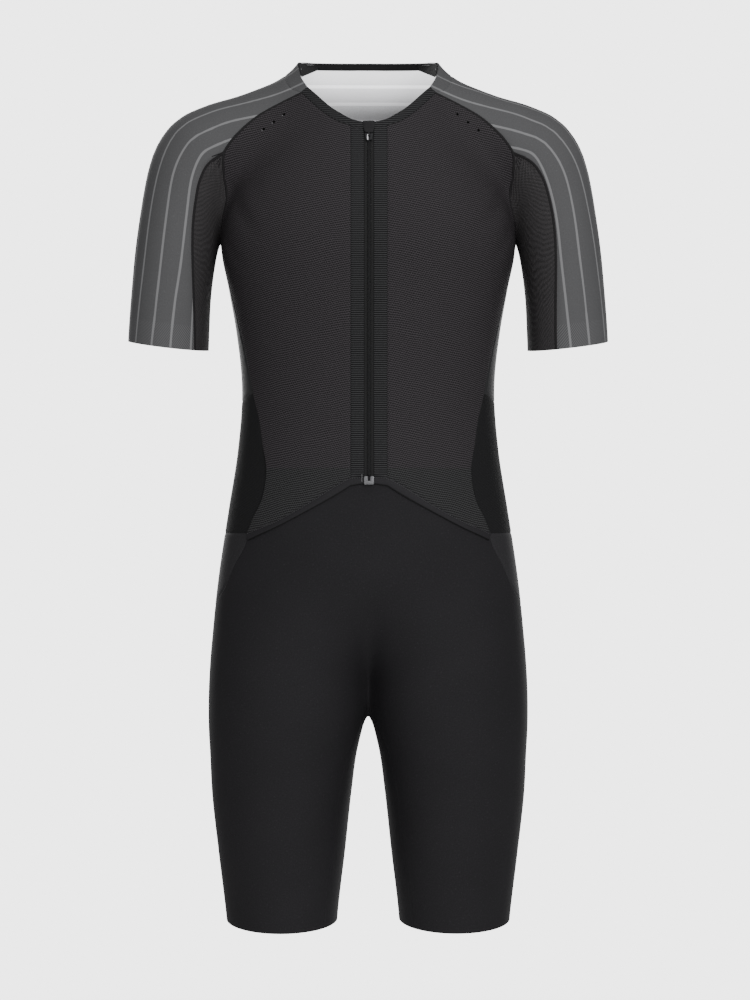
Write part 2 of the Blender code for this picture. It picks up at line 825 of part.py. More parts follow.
def arm_turned(points, turn, weights):
    """Turns points about the arm's axis."""
    along, out, back = arm_place(points[:, 0], points[:, 1], points[:, 2])
    far = np.hypot(out, back)
    angle = np.arctan2(back, out) + np.radians(turn) * weights
    return arm_point(along, angle, far)


def arm_point(along, angle, far):
    """The point at an angle about the arm's axis: 0 is outwards, a quarter turn is back."""
    x = np.interp(along, ARM_ALONG, ARM_X)
    z = np.interp(along, ARM_ALONG, ARM_Z)
    y = np.interp(along, ARM_ALONG, ARM_Y)
    step = 0.002
    run_x = np.interp(along + step, ARM_ALONG, ARM_X) - np.interp(along - step, ARM_ALONG, ARM_X)
    run_z = np.interp(along + step, ARM_ALONG, ARM_Z) - np.interp(along - step, ARM_ALONG, ARM_Z)
    length = np.hypot(run_x, run_z)
    out = far * np.cos(angle)
    return np.stack(
        [x - out * run_z / length, y + far * np.sin(angle), z + out * run_x / length], axis=-1
    )


def leg_arc(first, last, pieces, height=HEM_HEIGHT):
    """An arc of the leg's hem between two angles turned from the front to +X."""
    turn = np.radians(np.linspace(first, last, pieces + 1))
    sizes = [by_height(LEG, name, height) for name in LEG["columns"][1:]]
    radius = ring_radius(np.sin(turn), -np.cos(turn), *sizes[1:])
    x = sizes[0] + radius * np.sin(turn)
    return on_hem(np.stack([x, -radius * np.cos(turn), np.full(len(turn), height)], axis=-1))


def leg_angle(point):
    centre = float(by_height(LEG, "centre", np.array(HEM_HEIGHT)))
    return math.degrees(math.atan2(point[0] - centre, -point[1]))


# ---------------------------------------------------------------- pieces

FRONT_COLUMNS = 9
BACK_COLUMNS = 9
LEG_ROWS = 9
CENTRE_ROWS = 11
SHOULDER_COLUMNS = 10


def make_seams():
    """Every seam of the +X half, by name."""
    s = {}
    s["neck_front"] = seam(NECK_FRONT)
    s["neck_shoulder"] = seam(NECK_SHOULDER, SHOULDER_COLUMNS)
    s["neck_back"] = seam(NECK_BACK, BACK_COLUMNS)
    s["neck_back"][0, 0] = 0.0
    s["raglan_front"] = seam(RAGLAN_FRONT)
    s["raglan_back"] = seam(RAGLAN_BACK)
    s["armhole_front"] = into_crease(ARMHOLE_FRONT)
    s["armhole_back"] = into_crease(ARMHOLE_BACK)
    s["underarm"] = into_crease(UNDERARM)
    s["underarm"][0] = s["armhole_front"][-1]
    s["underarm"][-1] = s["armhole_back"][-1]
    s["side_front"] = np.concatenate([s["armhole_front"][-1:], torso_rows(SIDE_FRONT)])
    s["side_back"] = np.concatenate([s["armhole_back"][-1:], torso_rows(SIDE_BACK)])
    s["hip"] = torso_rows(HIP_SEAM)
    s["side_seam"] = on_side_seam()
    s["centre_front"] = on_centre(along_curve(settle(CENTRE_FRONT), CENTRE_ROWS))
    s["centre_back"] = on_centre(along_curve(settle(CENTRE_BACK), CENTRE_ROWS))
    crotch = [CENTRE_FRONT[-1], (0.0, 0.0, -0.714), CENTRE_BACK[-1]]
    s["crotch"] = on_centre(along_curve(settle(crotch), 4))
    s["gusset_front"] = gusset_seam(GUSSET_FRONT, s["crotch"][0])
    s["gusset_back"] = gusset_seam(backwards(GUSSET_FRONT), s["crotch"][-1])
    s["centre_front"][-1] = s["crotch"][0]
    s["centre_back"][-1] = s["crotch"][-1]
    return s


def on_side_seam():
    curve = along_curve(settle(SIDE_SEAM), 12)
    curve = settle(curve)
    curve[0] = torso_rows(HIP_SEAM, HIP_LOWEST, HIP_LOWEST + 1)[0]
    curve[-1] = on_hem(curve[-1:])[0]
    return curve


def gusset_seam(rows, start):
    curve = settle(along_curve(settle(rows), LEG_ROWS))
    curve[0] = start
    curve[-1] = on_hem(curve[-1:])[0]
    return curve


def zip_line(across, heights):
    return on_front(np.full(len(heights), across), heights)


def add_sleeves(s, cloth):
    """Striped outer sleeve from neck to cuff, its neck hem, and the mesh inner sleeve."""
    front = settle(np.array(SLEEVE_FRONT))
    middle = 2 * np.interp(front[:, 2][::-1], ARM_Z[::-1], ARM_Y[::-1])[::-1]
    back = np.stack([front[:, 0], middle - front[:, 1], front[:, 2]], axis=-1)
    weights = np.linspace(0.0, 1.0, len(front)) ** 0.7
    for side, turn, flip in (("_r", SLEEVE_TWIST, False), ("_l", -SLEEVE_TWIST, True)):
        edges = []
        for curve, first in ((front, s["armhole_front"][0]), (back, s["armhole_back"][0])):
            edge = settle(arm_turned(curve, turn, weights))
            edge[0] = first
            edge[-1] = on_cuff(edge[-1:])[0]
            edges.append(edge)
        add_outer_sleeve(s, edges, cloth, side, flip)
        add_inner_sleeve(s, edges, cloth, side, flip)


def cuff_arc(first, last, pieces, outer):
    """The cuff between two points, round the outer or the inner side of the arm."""
    ends = np.stack([first, last])
    along, out, back = arm_place(ends[:, 0], ends[:, 1], ends[:, 2])
    angles = np.arctan2(back, out)
    if not outer:
        angles = np.where(angles > 0, angles - 2 * math.pi, angles)
    angle = np.linspace(angles[0], angles[1], pieces + 1)
    curve = on_cuff(arm_point(np.linspace(along[0], along[1], pieces + 1), angle, ARM_RADIUS[-1]))
    curve[0] = first
    curve[-1] = last
    return curve


def add_outer_sleeve(s, edges, cloth, side, flip):
    front = join(s["raglan_front"], edges[0])
    back = join(s["raglan_back"], edges[1])
    top = s["neck_shoulder"]
    bottom = cuff_arc(edges[0][-1], edges[1][-1], SHOULDER_COLUMNS, True)
    share = np.linspace(0.0, 1.0, SHOULDER_COLUMNS + 1)
    places = []
    for edge in (front, back):
        along, out, depth = arm_place(edge[:, 0], edge[:, 1], edge[:, 2])
        places.append((along, np.arctan2(depth, out)))
    along = places[0][0][:, None] * (1 - share) + places[1][0][:, None] * share
    angle = places[0][1][:, None] * (1 - share) + places[1][1][:, None] * share
    radius = np.interp(along, ARM_ALONG, ARM_RADIUS)
    grid = settle(arm_point(along, angle, radius))
    grid[:, 0] = front
    grid[:, -1] = back
    grid[0] = top
    grid[-1] = bottom
    relax(grid, 20)
    for name, rows in (("neck_hem", grid[:2]), ("sleeve_outer", grid[1:])):
        wall(name + side, inset(rows, ALL_SIDES), cloth["sleeve"], rows, flip=flip)


def add_inner_sleeve(s, edges, cloth, side, flip):
    top = join(s["armhole_front"], s["underarm"], s["armhole_back"][::-1])
    bottom = cuff_arc(edges[0][-1], edges[1][-1], len(top) - 1, False)
    grid = sheet(edges[0], edges[1], top, bottom)
    wall("sleeve_inner" + side, inset(grid, ALL_SIDES), cloth["mesh"], grid, flip=flip)


def add_front(s, cloth):
    """Mesh front panels, neck bands, zip facings and tapes, and the hem binding."""
    outer_edge = beside(s["neck_front"], 10.0 * MM)
    outer_edge[-1] = s["raglan_front"][1]
    outer_edge[0] = on_front(FACING_IN, outer_edge[0, 2])
    outer_edge[1] = on_front(FACING_OUT, outer_edge[1, 2])
    band = np.stack([s["neck_front"], outer_edge])
    ribbed_pair("neck_band", band, cloth["rib"])

    right = join(s["raglan_front"][1:], s["armhole_front"], s["side_front"])
    rows = len(right)
    columns = FRONT_COLUMNS
    across = column(HEM_POINT, "across")
    point_top = on_front(across, column(HEM_POINT, "top"))
    point_bottom = on_front(across, column(HEM_POINT, "bottom"))
    corner = s["side_front"][-1]
    point_top[-1] = corner
    heights = np.linspace(outer_edge[1, 2], point_top[2, 2], rows)
    left = zip_line(FACING_OUT, heights)
    left[0] = outer_edge[1]
    left[-1] = point_top[2]
    top = split(outer_edge[1:], columns)
    hem_top = settle(along_curve(point_top[2:], columns))
    hem_top[0], hem_top[-1] = point_top[2], corner
    hem_bottom = settle(along_curve(point_bottom[2:], columns))
    mesh = sheet(left, right, top, hem_top)
    pair("front_mesh", mesh, cloth["mesh"], raised=True)

    facing_heights = np.linspace(outer_edge[0, 2], point_top[1, 2], rows)
    facing = np.stack([zip_line(FACING_IN, facing_heights), left], axis=1)
    ribbed_pair("zip_facing", facing, cloth["rib"], raised=True)
    tape_heights = np.linspace(s["neck_front"][0, 2] - 2.0 * MM, point_top[0, 2], rows)
    tape = np.stack([zip_line(TAPE_IN, tape_heights), zip_line(FACING_IN, tape_heights)], axis=1)
    pair("zip_tape", tape, cloth["tape"], outer=TAPE_WALL, raised=True)

    upper = join(point_top[:3], hem_top)
    lower = join(point_bottom[:3], hem_bottom)
    binding = np.stack([upper, lower])
    drawn = inset(binding, ("end", "top", "bottom"))
    drawn[:, 0, 0] = 0.0
    wall("hem_binding", drawn, cloth["smooth"], binding, raised=True, weld=1)


def front_path():
    """Centre-front points below the neck edge: heights by distance down the cloth."""
    heights = np.linspace(NECK_FRONT[0][2], NECK_FRONT[0][2] - 0.040, 41)
    points = on_front(0.0, heights)
    run = np.concatenate([[0.0], np.cumsum(np.linalg.norm(np.diff(points, axis=0), axis=1))])
    return run, heights


def add_zip(cloth):
    """Chain, slider under its garage, hanging pull, and the box at the lower end."""
    run, heights = front_path()
    middle = on_front(0.0, np.interp(SLIDER_DOWN, run, heights))
    normal = outward(middle)
    tilt = -math.atan2(normal[2], -normal[1])

    chain_top = np.interp(SLIDER_DOWN - SLIDER_LENGTH / 2 + POST_LENGTH + SEAM_GAP, run, heights)
    chain_heights = np.linspace(chain_top, CHAIN_BOTTOM, 24)
    chain = np.stack([zip_line(-CHAIN_HALF, chain_heights), zip_line(CHAIN_HALF, chain_heights)], axis=1)
    wall("zip_chain", chain, cloth["zip"], outer=CHAIN_THICK, raised=True)

    add_slider(middle, tilt, cloth["metal"])
    add_pull(middle + normal * PIVOT_OUT, tilt, cloth["silver"])
    add_garage(run, heights, cloth["smooth"])
    foot = on_front(0.0, -0.4493) + outward(on_front(0.0, -0.4493)) * FLAP_LIFT
    outline = [(side * x, z) for side, rows in ((1, BOX_OUTLINE), (-1, BOX_OUTLINE[::-1])) for x, z in rows]
    box = prism("zip_box", outline, CLOTH_WALL + SEAM_GAP, CLOTH_WALL + SEAM_GAP + 2.0 * MM, cloth["silver"])
    box.location = foot


def prism(name, outline, low, high, made):
    """An outline of x and z drawn out forwards between two distances from the cloth."""
    count = len(outline)
    points = [(x, -low, z) for x, z in outline] + [(x, -high, z) for x, z in outline]
    sides = [(i, (i + 1) % count, (i + 1) % count + count, i + count) for i in range(count)]
    faces = [tuple(range(count))[::-1], tuple(range(count, 2 * count))] + sides
    area = sum(outline[i - 1][0] * outline[i][1] - outline[i][0] * outline[i - 1][1] for i in range(count))
    if area > 0:
        faces = [face[::-1] for face in faces]
    return add_object(name, points, [face[::-1] for face in faces], made)


def block(name, x, z_low, z_high, low, high, made):
    return prism(name, [(-x, z_low), (x, z_low), (x, z_high), (-x, z_high)], low, high, made)


def unite(piece, helper, operation):
    """A Boolean with a helper that stays out of the render."""
    helper.hide_render = True
    helper.display_type = "WIRE"
    helper.parent = piece
    change = piece.modifiers.new(helper.name, "BOOLEAN")
    change.operation = operation
    change.object = helper


def add_slider(middle, tilt, made):
    half = SLIDER_LENGTH / 2
    outline = [(-4.4 * MM, half - 2.5 * MM), (-3.0 * MM, half), (3.0 * MM, half), (4.4 * MM, half - 2.5 * MM)]
    outline += [(3.4 * MM, -half), (-3.4 * MM, -half)]
    slider = prism("zip_slider", outline, PLATE_OUT, PLATE_OUT + PLATE_WALL, made)
    behind = prism("slider_back_plate", outline, -PLATE_BEHIND - PLATE_WALL, -PLATE_BEHIND, made)
    post = block(
        "slider_post", 1.2 * MM, half - POST_LENGTH, half - 0.2 * MM,
        -PLATE_BEHIND - 0.5 * MM, PLATE_OUT + 0.5 * MM, made,
    )
    rail_low = PLATE_OUT + PLATE_WALL + BAIL_ROOM
    rail = block(
        "slider_bail", 0.7 * MM, PIVOT_UP - BAIL_HALF, PIVOT_UP + BAIL_HALF,
        PLATE_OUT + 0.5 * MM, rail_low + 0.8 * MM, made,
    )
    hollow = block(
        "slider_bail_hollow", 1.5 * MM, PIVOT_UP - BAIL_HALF + 0.8 * MM, PIVOT_UP + BAIL_HALF - 0.8 * MM,
        PLATE_OUT + PLATE_WALL, rail_low, made,
    )
    unite(slider, post, "UNION")
    unite(slider, behind, "UNION")
    unite(slider, rail, "UNION")
    unite(slider, hollow, "DIFFERENCE")
    slider.location = middle
    slider.rotation_euler = (tilt, 0.0, 0.0)


def add_pull(pivot, tilt, made):
    """The tab hangs from its pivot; its window passes round the slider's bail."""
    outline = [(-1.6, 0.45), (1.6, 0.45), (2.1, -0.4), (2.1, -5.8), (1.4, -6.6), (-1.4, -6.6), (-2.1, -5.8), (-2.1, -0.4)]
    tab = prism("zip_pull", [(x * MM, z * MM) for x, z in outline], -0.45 * MM, 0.45 * MM, made)
    window = block("pull_window", 1.05 * MM, -2.75 * MM, -0.45 * MM, -1.0 * MM, 1.0 * MM, made)
    unite(tab, window, "DIFFERENCE")
    up = np.array([0.0, -math.sin(tilt), math.cos(tilt)])
    tab.location = pivot + PIVOT_UP * up
    tab.rotation_euler = (tilt, 0.0, 0.0)


def add_garage(run, heights, made):
    """A cloth tongue folded over the neck edge, down over the top of the slider."""
    down, off, half = (column(GARAGE, name) for name in GARAGE["columns"])
    z = np.interp(np.maximum(down, 0.0), run, heights)
    centre = on_front(0.0, z)
    normal = outward(centre)
    up = np.stack([0 * z, normal[:, 2], -normal[:, 1]], axis=-1)
    line = centre + normal * off[:, None] - up * np.minimum(down, 0.0)[:, None]
    along = np.gradient(line, axis=0)
    aside = np.cross(along, np.array([1.0, 0.0, 0.0]))
    aside /= np.linalg.norm(aside, axis=-1, keepdims=True)
    rows, count = len(down), 3
    inner = np.stack([line + np.outer(half * share, [1.0, 0.0, 0.0]) for share in (-1.0, 0.0, 1.0)], axis=1)
    outer = inner + (aside * GARAGE_WALL)[:, None]
    index = np.arange(rows * count).reshape(rows, count)
    quads = np.stack([index[:-1, :-1], index[1:, :-1], index[1:, 1:], index[:-1, 1:]], axis=-1).reshape(-1, 4)
    solid("zip_garage", outer.reshape(-1, 3), inner.reshape(-1, 3), quads, made)


def beside(curve, distance):
    """The curve moved sideways on the figure, away from the neck."""
    along = np.gradient(curve, axis=0)
    aside = np.cross(along, outward(curve))
    aside /= np.linalg.norm(aside, axis=-1, keepdims=True)
    down = np.sign((aside * (curve - np.array([0.0, 0.0, 0.10]))).sum(axis=-1).mean())
    return settle(curve + down * distance * aside)


def add_sides(s, cloth):
    """Narrow panel under the arm, black panel at the waist, and hip piece."""
    front_top, front_low = s["side_front"][: UPPER_ROWS + 1], s["side_front"][UPPER_ROWS:]
    back_top, back_low = s["side_back"][: UPPER_ROWS + 1], s["side_back"][UPPER_ROWS:]
    angles = np.linspace(69.0, 111.0, 5)
    dip = 0.008 * np.sin(np.linspace(0.0, math.pi, 5))
    middle = on_torso(-0.353 - dip, angles)
    middle[0], middle[-1] = front_top[-1], back_top[-1]
    upper = sheet(front_top, back_top, split(s["underarm"], 4), middle)
    pair("side_upper", upper, cloth["smooth"])

    columns = len(s["hip"]) - 1
    bottom = on_torso(np.full(columns + 1, -0.507), np.linspace(63.2, 116.0, columns + 1))
    bottom[0], bottom[-1] = front_low[-1], back_low[-1]
    lower = sheet(front_low, back_low, split(middle, columns), bottom)
    pair("side_lower", lower, cloth["black"])

    start = split(np.stack([bottom[0], s["hip"][0]]), 3)
    end = split(np.stack([bottom[-1], s["hip"][-1]]), 3)
    pair("hip_side", sheet(start, end, bottom, s["hip"], rounds=4), cloth["shorts"])


def add_shorts(s, cloth):
    """Front in one piece across both legs, two backs, and the inner-leg gusset."""
    front_hem_angles = leg_angle(s["gusset_front"][-1]), leg_angle(s["side_seam"][-1])
    back_angle = leg_angle(s["gusset_back"][-1]) + 360.0
    waist_row = 1 + column(SIDE_FRONT, "height").tolist().index(WAIST_FRONT)
    waist_angles = np.linspace(0.0, 56.6, BACK_COLUMNS + 1)
    waist = on_torso(np.full(BACK_COLUMNS + 1, WAIST_FRONT), waist_angles)
    waist[0], waist[-1] = s["centre_front"][0], s["side_front"][waist_row]
    inside = join(s["centre_front"], s["gusset_front"])
    outside = join(
        s["side_front"][waist_row:],
        np.concatenate([s["side_front"][-1:], s["hip"][: HIP_LOWEST + 1]]),
        s["side_seam"],
    )
    rows = max(len(inside), len(outside)) - 1
    hem = leg_arc(*front_hem_angles, BACK_COLUMNS)
    hem[0], hem[-1] = s["gusset_front"][-1], s["side_seam"][-1]
    weld = CENTRE_ROWS + rows + 1 - len(inside)
    front_lines = split(s["centre_front"], weld)
    grid = sheet(join(front_lines, s["gusset_front"]), split(outside, rows), waist, hem)
    drawn = inset(grid, ("end", "bottom"))
    below = inset(grid, ("start", "end", "bottom"))
    drawn[weld:] = below[weld:]
    drawn[weld, 0] = grid[weld, 0] + np.array([0.0, -SEAM_INSET, 0.0])
    drawn[: weld + 1, 0, 0] = 0.0
    wall("shorts_front", drawn, cloth["shorts"], grid, weld=weld)

    seam_angles = np.linspace(180.0, 116.0, BACK_COLUMNS + 1)
    rise = -0.507 + 0.029 * ramp((seam_angles - 116.0) / 64.0)
    waist_back = on_torso(rise, seam_angles)
    waist_back[0], waist_back[-1] = s["centre_back"][0], s["side_back"][-1]
    s["waist_back"] = waist_back
    inside = join(s["centre_back"], s["gusset_back"])
    outside = join(
        np.concatenate([s["side_back"][-1:], s["hip"][: HIP_LOWEST - 1 : -1]]), s["side_seam"]
    )
    hem = leg_arc(back_angle, leg_angle(s["side_seam"][-1]), BACK_COLUMNS)
    hem[0], hem[-1] = s["gusset_back"][-1], s["side_seam"][-1]
    back = sheet(inside, split(outside, len(inside) - 1), waist_back, hem)
    pair("shorts_back", back, cloth["shorts"])

    inner_hem = leg_arc(leg_angle(s["gusset_front"][-1]), leg_angle(s["gusset_back"][-1]), 4)
    inner_hem[0], inner_hem[-1] = s["gusset_front"][-1], s["gusset_back"][-1]
    strip = sheet(s["crotch"], inner_hem, s["gusset_front"], s["gusset_back"])
    drawn = inset(strip, ("top", "end", "bottom"))
    drawn[:, 0, 0] = 0.0
    wall("gusset", drawn, cloth["shorts"], strip, weld=len(strip) - 1)


def add_back(s, cloth):
    """Striped yoke, back panel, and the tape inside the neck edge."""
    yoke_row = 2
    corner = s["armhole_back"][yoke_row]
    right = join(s["raglan_back"], s["armhole_back"][: yoke_row + 1])
    yoke_low = -0.150
    rows = len(right) - 1
    heights = np.linspace(0.0290, yoke_low, rows + 1)
    depths = np.interp(heights, [yoke_low, -0.05, 0.0290], [0.105, 0.085, 0.061])
    centre = on_centre(np.stack([0 * heights, depths, heights], axis=-1))
    centre[0] = s["neck_back"][0]
    bottom = along_curve(settle([centre[-1], (0.06, 0.110, -0.147), (0.12, 0.090, -0.141), corner]), 9)
    bottom = settle(bottom)
    bottom[0], bottom[-1] = centre[-1], corner
    grid = sheet(centre, right, s["neck_back"], bottom)
    drawn = inset(grid, ("end", "top", "bottom"))
    drawn[:, 0, 0] = 0.0
    wall("back_yoke", drawn, cloth["sleeve"], grid, weld=rows)

    right = join(s["armhole_back"][yoke_row:], s["side_back"])
    rows = len(right) - 1
    heights = np.linspace(centre[-1, 2], s["centre_back"][0, 2], rows + 1)
    depths = np.interp(heights, [-0.478, -0.35, -0.15], [0.100, 0.090, 0.105])
    middle = on_centre(np.stack([0 * heights, depths, heights], axis=-1))
    middle[0], middle[-1] = centre[-1], s["centre_back"][0]
    panel = sheet(middle, right, bottom, s["waist_back"])
    drawn = inset(panel, ("end", "top", "bottom"))
    drawn[:, 0, 0] = 0.0
    wall("back_panel", drawn, cloth["mesh"], panel, weld=rows)

    edge = join(s["neck_back"], s["neck_shoulder"][::-1][:6])
    low = beside(edge, 8.0 * MM)
    share = np.clip((np.arange(len(edge)) - 7) / (len(edge) - 8), 0.0, 1.0)[:, None]
    low = settle(low + (edge - low) * 0.65 * share)
    tape = np.stack([edge, low], axis=1)
    tape[0, :, 0] = 0.0
    wall("neck_tape", tape.transpose(1, 0, 2), cloth["tape"], inner=-1.4 * MM, outer=-0.4 * MM, weld=1)


def main():
    for piece in list(bpy.data.objects):
        bpy.data.objects.remove(piece, do_unlink=True)
    cloth = {
        "mesh": material("front_mesh_knit", (0.026, 0.023, 0.026), 0.75),
        "rib": material("ribbed_band", (0.024, 0.024, 0.026), 0.80),
        "sleeve": material("striped_sleeve", (0.100, 0.100, 0.104), 0.70),
        "smooth": material("smooth_binding", (0.018, 0.017, 0.020), 0.60),
        "black": material("side_black", (0.011, 0.011, 0.012), 0.80),
        "shorts": material("shorts_knit", (0.017, 0.016, 0.018), 0.85),
        "tape": material("zip_tape", (0.019, 0.019, 0.020), 0.80),
        "zip": material("zip_chain", (0.012, 0.012, 0.013), 0.45),
        "metal": material("dark_slider", (0.030, 0.030, 0.033), 0.35, 1.0),
        "silver": material("plain_metal", (0.60, 0.60, 0.62), 0.30, 1.0),
    }
    seams = make_seams()
    add_sleeves(seams, cloth)
    add_front(seams, cloth)
    add_sides(seams, cloth)
    add_shorts(seams, cloth)
    add_back(seams, cloth)
    add_zip(cloth)


main()
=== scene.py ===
"""Triathlon suit in full finish, filled out as worn, hollow, on a plain pale stage.

Every panel is a thin closed shell on the same figure as the solids, cut along the same seams.
Metres, in the frame's own axes: +X is the side named _r, the front faces -Y, +Z is up.
"""

import math

import bmesh
import bpy
import numpy as np
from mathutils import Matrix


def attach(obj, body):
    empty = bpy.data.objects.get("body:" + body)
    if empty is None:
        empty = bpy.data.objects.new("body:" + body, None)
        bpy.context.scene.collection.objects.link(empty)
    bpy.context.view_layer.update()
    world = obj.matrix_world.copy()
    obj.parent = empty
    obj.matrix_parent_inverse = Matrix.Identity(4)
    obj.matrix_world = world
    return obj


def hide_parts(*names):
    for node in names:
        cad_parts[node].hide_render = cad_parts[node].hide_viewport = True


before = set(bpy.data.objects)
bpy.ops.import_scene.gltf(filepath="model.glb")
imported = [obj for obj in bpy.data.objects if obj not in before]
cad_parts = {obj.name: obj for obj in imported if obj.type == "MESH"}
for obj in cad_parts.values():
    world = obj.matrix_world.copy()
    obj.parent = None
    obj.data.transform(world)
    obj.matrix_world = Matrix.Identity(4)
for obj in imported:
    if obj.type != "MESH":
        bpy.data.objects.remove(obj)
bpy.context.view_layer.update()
MM = 0.001
ACROSS = np.array([1.0, 0.0, 0.0])

# ------------------------------------------------------------------ stage, light and camera
# A pale disc under the suit fades into the even surround. Two tall soft boxes stand in front and
# two behind, and a strip from above picks out the shoulders. The camera is level with the waist.

BACKDROP = (0.905, 0.905, 0.905)
SEEN_BRIGHTNESS = 4.2
LIT_BRIGHTNESS = 0.36
FLOOR_HEIGHT = -1.40
FLOOR_RADIUS = 2.6
FLOOR_FADE = (0.5, 2.2)
CAMERA_AWAY = 3.0
CAMERA_HEIGHT = -0.4704
CAMERA_TURN = math.radians(-0.6)
CAMERA_ASIDE = -0.0238
CAMERA_LENS = 96.43
LAMPS = {
    "columns": ("name", "place", "height of aim", "size", "watts"),
    "rows": (
        ("key_box", (1.5, -2.9, 0.6), -0.40, (1.3, 2.2), 70.0),
        ("fill_box", (-0.9, -3.1, -0.6), -0.50, (1.3, 2.2), 28.0),
        ("top_strip", (0.0, -0.6, 1.8), -0.10, (2.0, 0.9), 14.0),
        ("back_box", (-1.2, 3.0, 0.4), -0.45, (1.3, 2.2), 60.0),
        ("back_fill", (1.3, 2.9, -0.4), -0.45, (1.3, 2.2), 36.0),
    ),
}


def add_node(tree, kind, inputs=None, **settings):
    """A shader node with its settings, and its inputs given as values or as other sockets."""
    made = tree.nodes.new(kind)
    for name, value in settings.items():
        setattr(made, name, value)
    for name, value in (inputs or {}).items():
        if isinstance(value, bpy.types.NodeSocket):
            tree.links.new(value, made.inputs[name])
        else:
            made.inputs[name].default_value = value
    return made


def span(tree, value, low, high, **settings):
    """0 at the low value and 1 at the high one, and level past both."""
    inputs = {"Value": value, "From Min": low, "From Max": high}
    return add_node(tree, "ShaderNodeMapRange", inputs, **settings).outputs[0]


def make_surround():
    world = bpy.data.worlds.new("surround")
    world.use_nodes = True
    tree = world.node_tree
    tree.nodes.clear()
    seen_directly = add_node(tree, "ShaderNodeLightPath").outputs["Is Camera Ray"]
    seen = add_node(tree, "ShaderNodeBackground", {"Color": (*BACKDROP, 1.0), "Strength": SEEN_BRIGHTNESS})
    lit = add_node(tree, "ShaderNodeBackground", {"Color": (1.0, 1.0, 1.0, 1.0), "Strength": LIT_BRIGHTNESS})
    either = add_node(tree, "ShaderNodeMixShader", {0: seen_directly, 1: lit.outputs[0], 2: seen.outputs[0]})
    add_node(tree, "ShaderNodeOutputWorld", {"Surface": either.outputs[0]})
    bpy.context.scene.world = world


def make_floor():
    bpy.ops.mesh.primitive_circle_add(
        vertices=96, radius=FLOOR_RADIUS, fill_type="NGON", location=(0.0, 0.0, FLOOR_HEIGHT)
    )
    floor = bpy.context.object
    floor.name = "floor"
    paint = bpy.data.materials.new("pale_floor")
    paint.use_nodes = True
    tree = paint.node_tree
    tree.nodes.clear()
    place = add_node(tree, "ShaderNodeTexCoord").outputs["Object"]
    away = add_node(tree, "ShaderNodeVectorMath", {0: place}, operation="LENGTH").outputs["Value"]
    fade = span(tree, away, *FLOOR_FADE, interpolation_type="SMOOTHSTEP")
    matt = add_node(tree, "ShaderNodeBsdfDiffuse", {"Color": (*BACKDROP, 1.0)})
    clear = add_node(tree, "ShaderNodeBsdfTransparent")
    faded = add_node(tree, "ShaderNodeMixShader", {0: fade, 1: matt.outputs[0], 2: clear.outputs[0]})
    add_node(tree, "ShaderNodeOutputMaterial", {"Surface": faded.outputs[0]})
    floor.data.materials.append(paint)


def add_lamp(name, place, aim_height, size, watts):
    data = bpy.data.lights.new(name, "AREA")
    data.shape = "RECTANGLE"
    data.size, data.size_y = size
    data.energy = watts
    lamp = bpy.data.objects.new(name, data)
    lamp.location = place
    x, y, z = np.array([0.0, 0.0, aim_height]) - np.array(place)
    lamp.rotation_euler = (math.atan2(math.hypot(x, y), -z), 0.0, math.atan2(y, x) - math.pi / 2)
    bpy.context.scene.collection.objects.link(lamp)


make_surround()
make_floor()
for row in LAMPS["rows"]:
    add_lamp(*row)
view = bpy.data.cameras.new("camera")
view.lens = CAMERA_LENS
camera = bpy.data.objects.new("camera", view)
camera.location = (CAMERA_ASIDE, -CAMERA_AWAY, CAMERA_HEIGHT)
camera.rotation_euler = (math.pi / 2, 0.0, CAMERA_TURN)
bpy.context.scene.collection.objects.link(camera)
bpy.context.scene.camera = camera

# ------------------------------------------------------------------ striped raglan sleeves
# Mid-grey stretch cloth printed with thin paler pinstripes, cut in one piece from the neck over
# the shoulder to the raw-cut cuff. A turned hem finishes the neck edge. The cloth lies on one
# smooth figure, a blend of tables of cross-sections for torso, legs and arms.

OUTER_FACE = 1.2 * MM
RIB_HEIGHT = 0.32 * MM
INNER_FACE = 0.35 * MM
SEAM_DIP = 0.5 * MM
SEAM_ROLL = 2.2 * MM
ALL_ROUND = ("start", "end", "top", "bottom")
SHARP_CLOTH = math.radians(55)
LINE_STEP = 4.5 * MM
CREASE_TOP = -0.120
CREASE_STEP = 1.5 * MM
CREASE_SHRINK = 0.93
CREASE_ROUNDS = 60
FLAP_LIFT = 1.6 * MM
CUFF_HEIGHT = -0.2976
CUFF_SLOPE_ACROSS = 0.12
CUFF_SLOPE_BACK = 0.10
CUFF_CENTRE = 0.2225
HEM_HEIGHT = -0.9385
HEM_SLOPE_BACK = 0.09
SLEEVE_TWIST = 11.0
WAIST_FRONT = -0.436
LIFT_START = -0.392

TORSO = {
    "columns": ("height", "half", "front", "back", "square"),
    "rows": (
        (0.060, 0.0690, 0.050, 0.050, 2.0),
        (0.028, 0.0700, 0.056, 0.056, 2.0),
        (0.010, 0.0735, 0.061, 0.062, 2.0),
        (-0.010, 0.0810, 0.067, 0.069, 2.0),
        (-0.040, 0.0960, 0.078, 0.082, 2.05),
        (-0.070, 0.1170, 0.092, 0.095, 2.1),
        (-0.110, 0.1430, 0.107, 0.106, 2.2),
        (-0.150, 0.1580, 0.115, 0.112, 2.3),
        (-0.190, 0.1625, 0.117, 0.112, 2.35),
        (-0.235, 0.1546, 0.113, 0.106, 2.35),
        (-0.280, 0.1467, 0.108, 0.098, 2.3),
        (-0.347, 0.1400, 0.102, 0.088, 2.3),
        (-0.414, 0.1445, 0.102, 0.088, 2.3),
        (-0.482, 0.1550, 0.105, 0.099, 2.3),
        (-0.549, 0.1652, 0.106, 0.113, 2.3),
        (-0.616, 0.1730, 0.104, 0.124, 2.3),
        (-0.660, 0.1764, 0.100, 0.122, 2.3),
        (-0.720, 0.1770, 0.092, 0.105, 2.3),
    ),
}
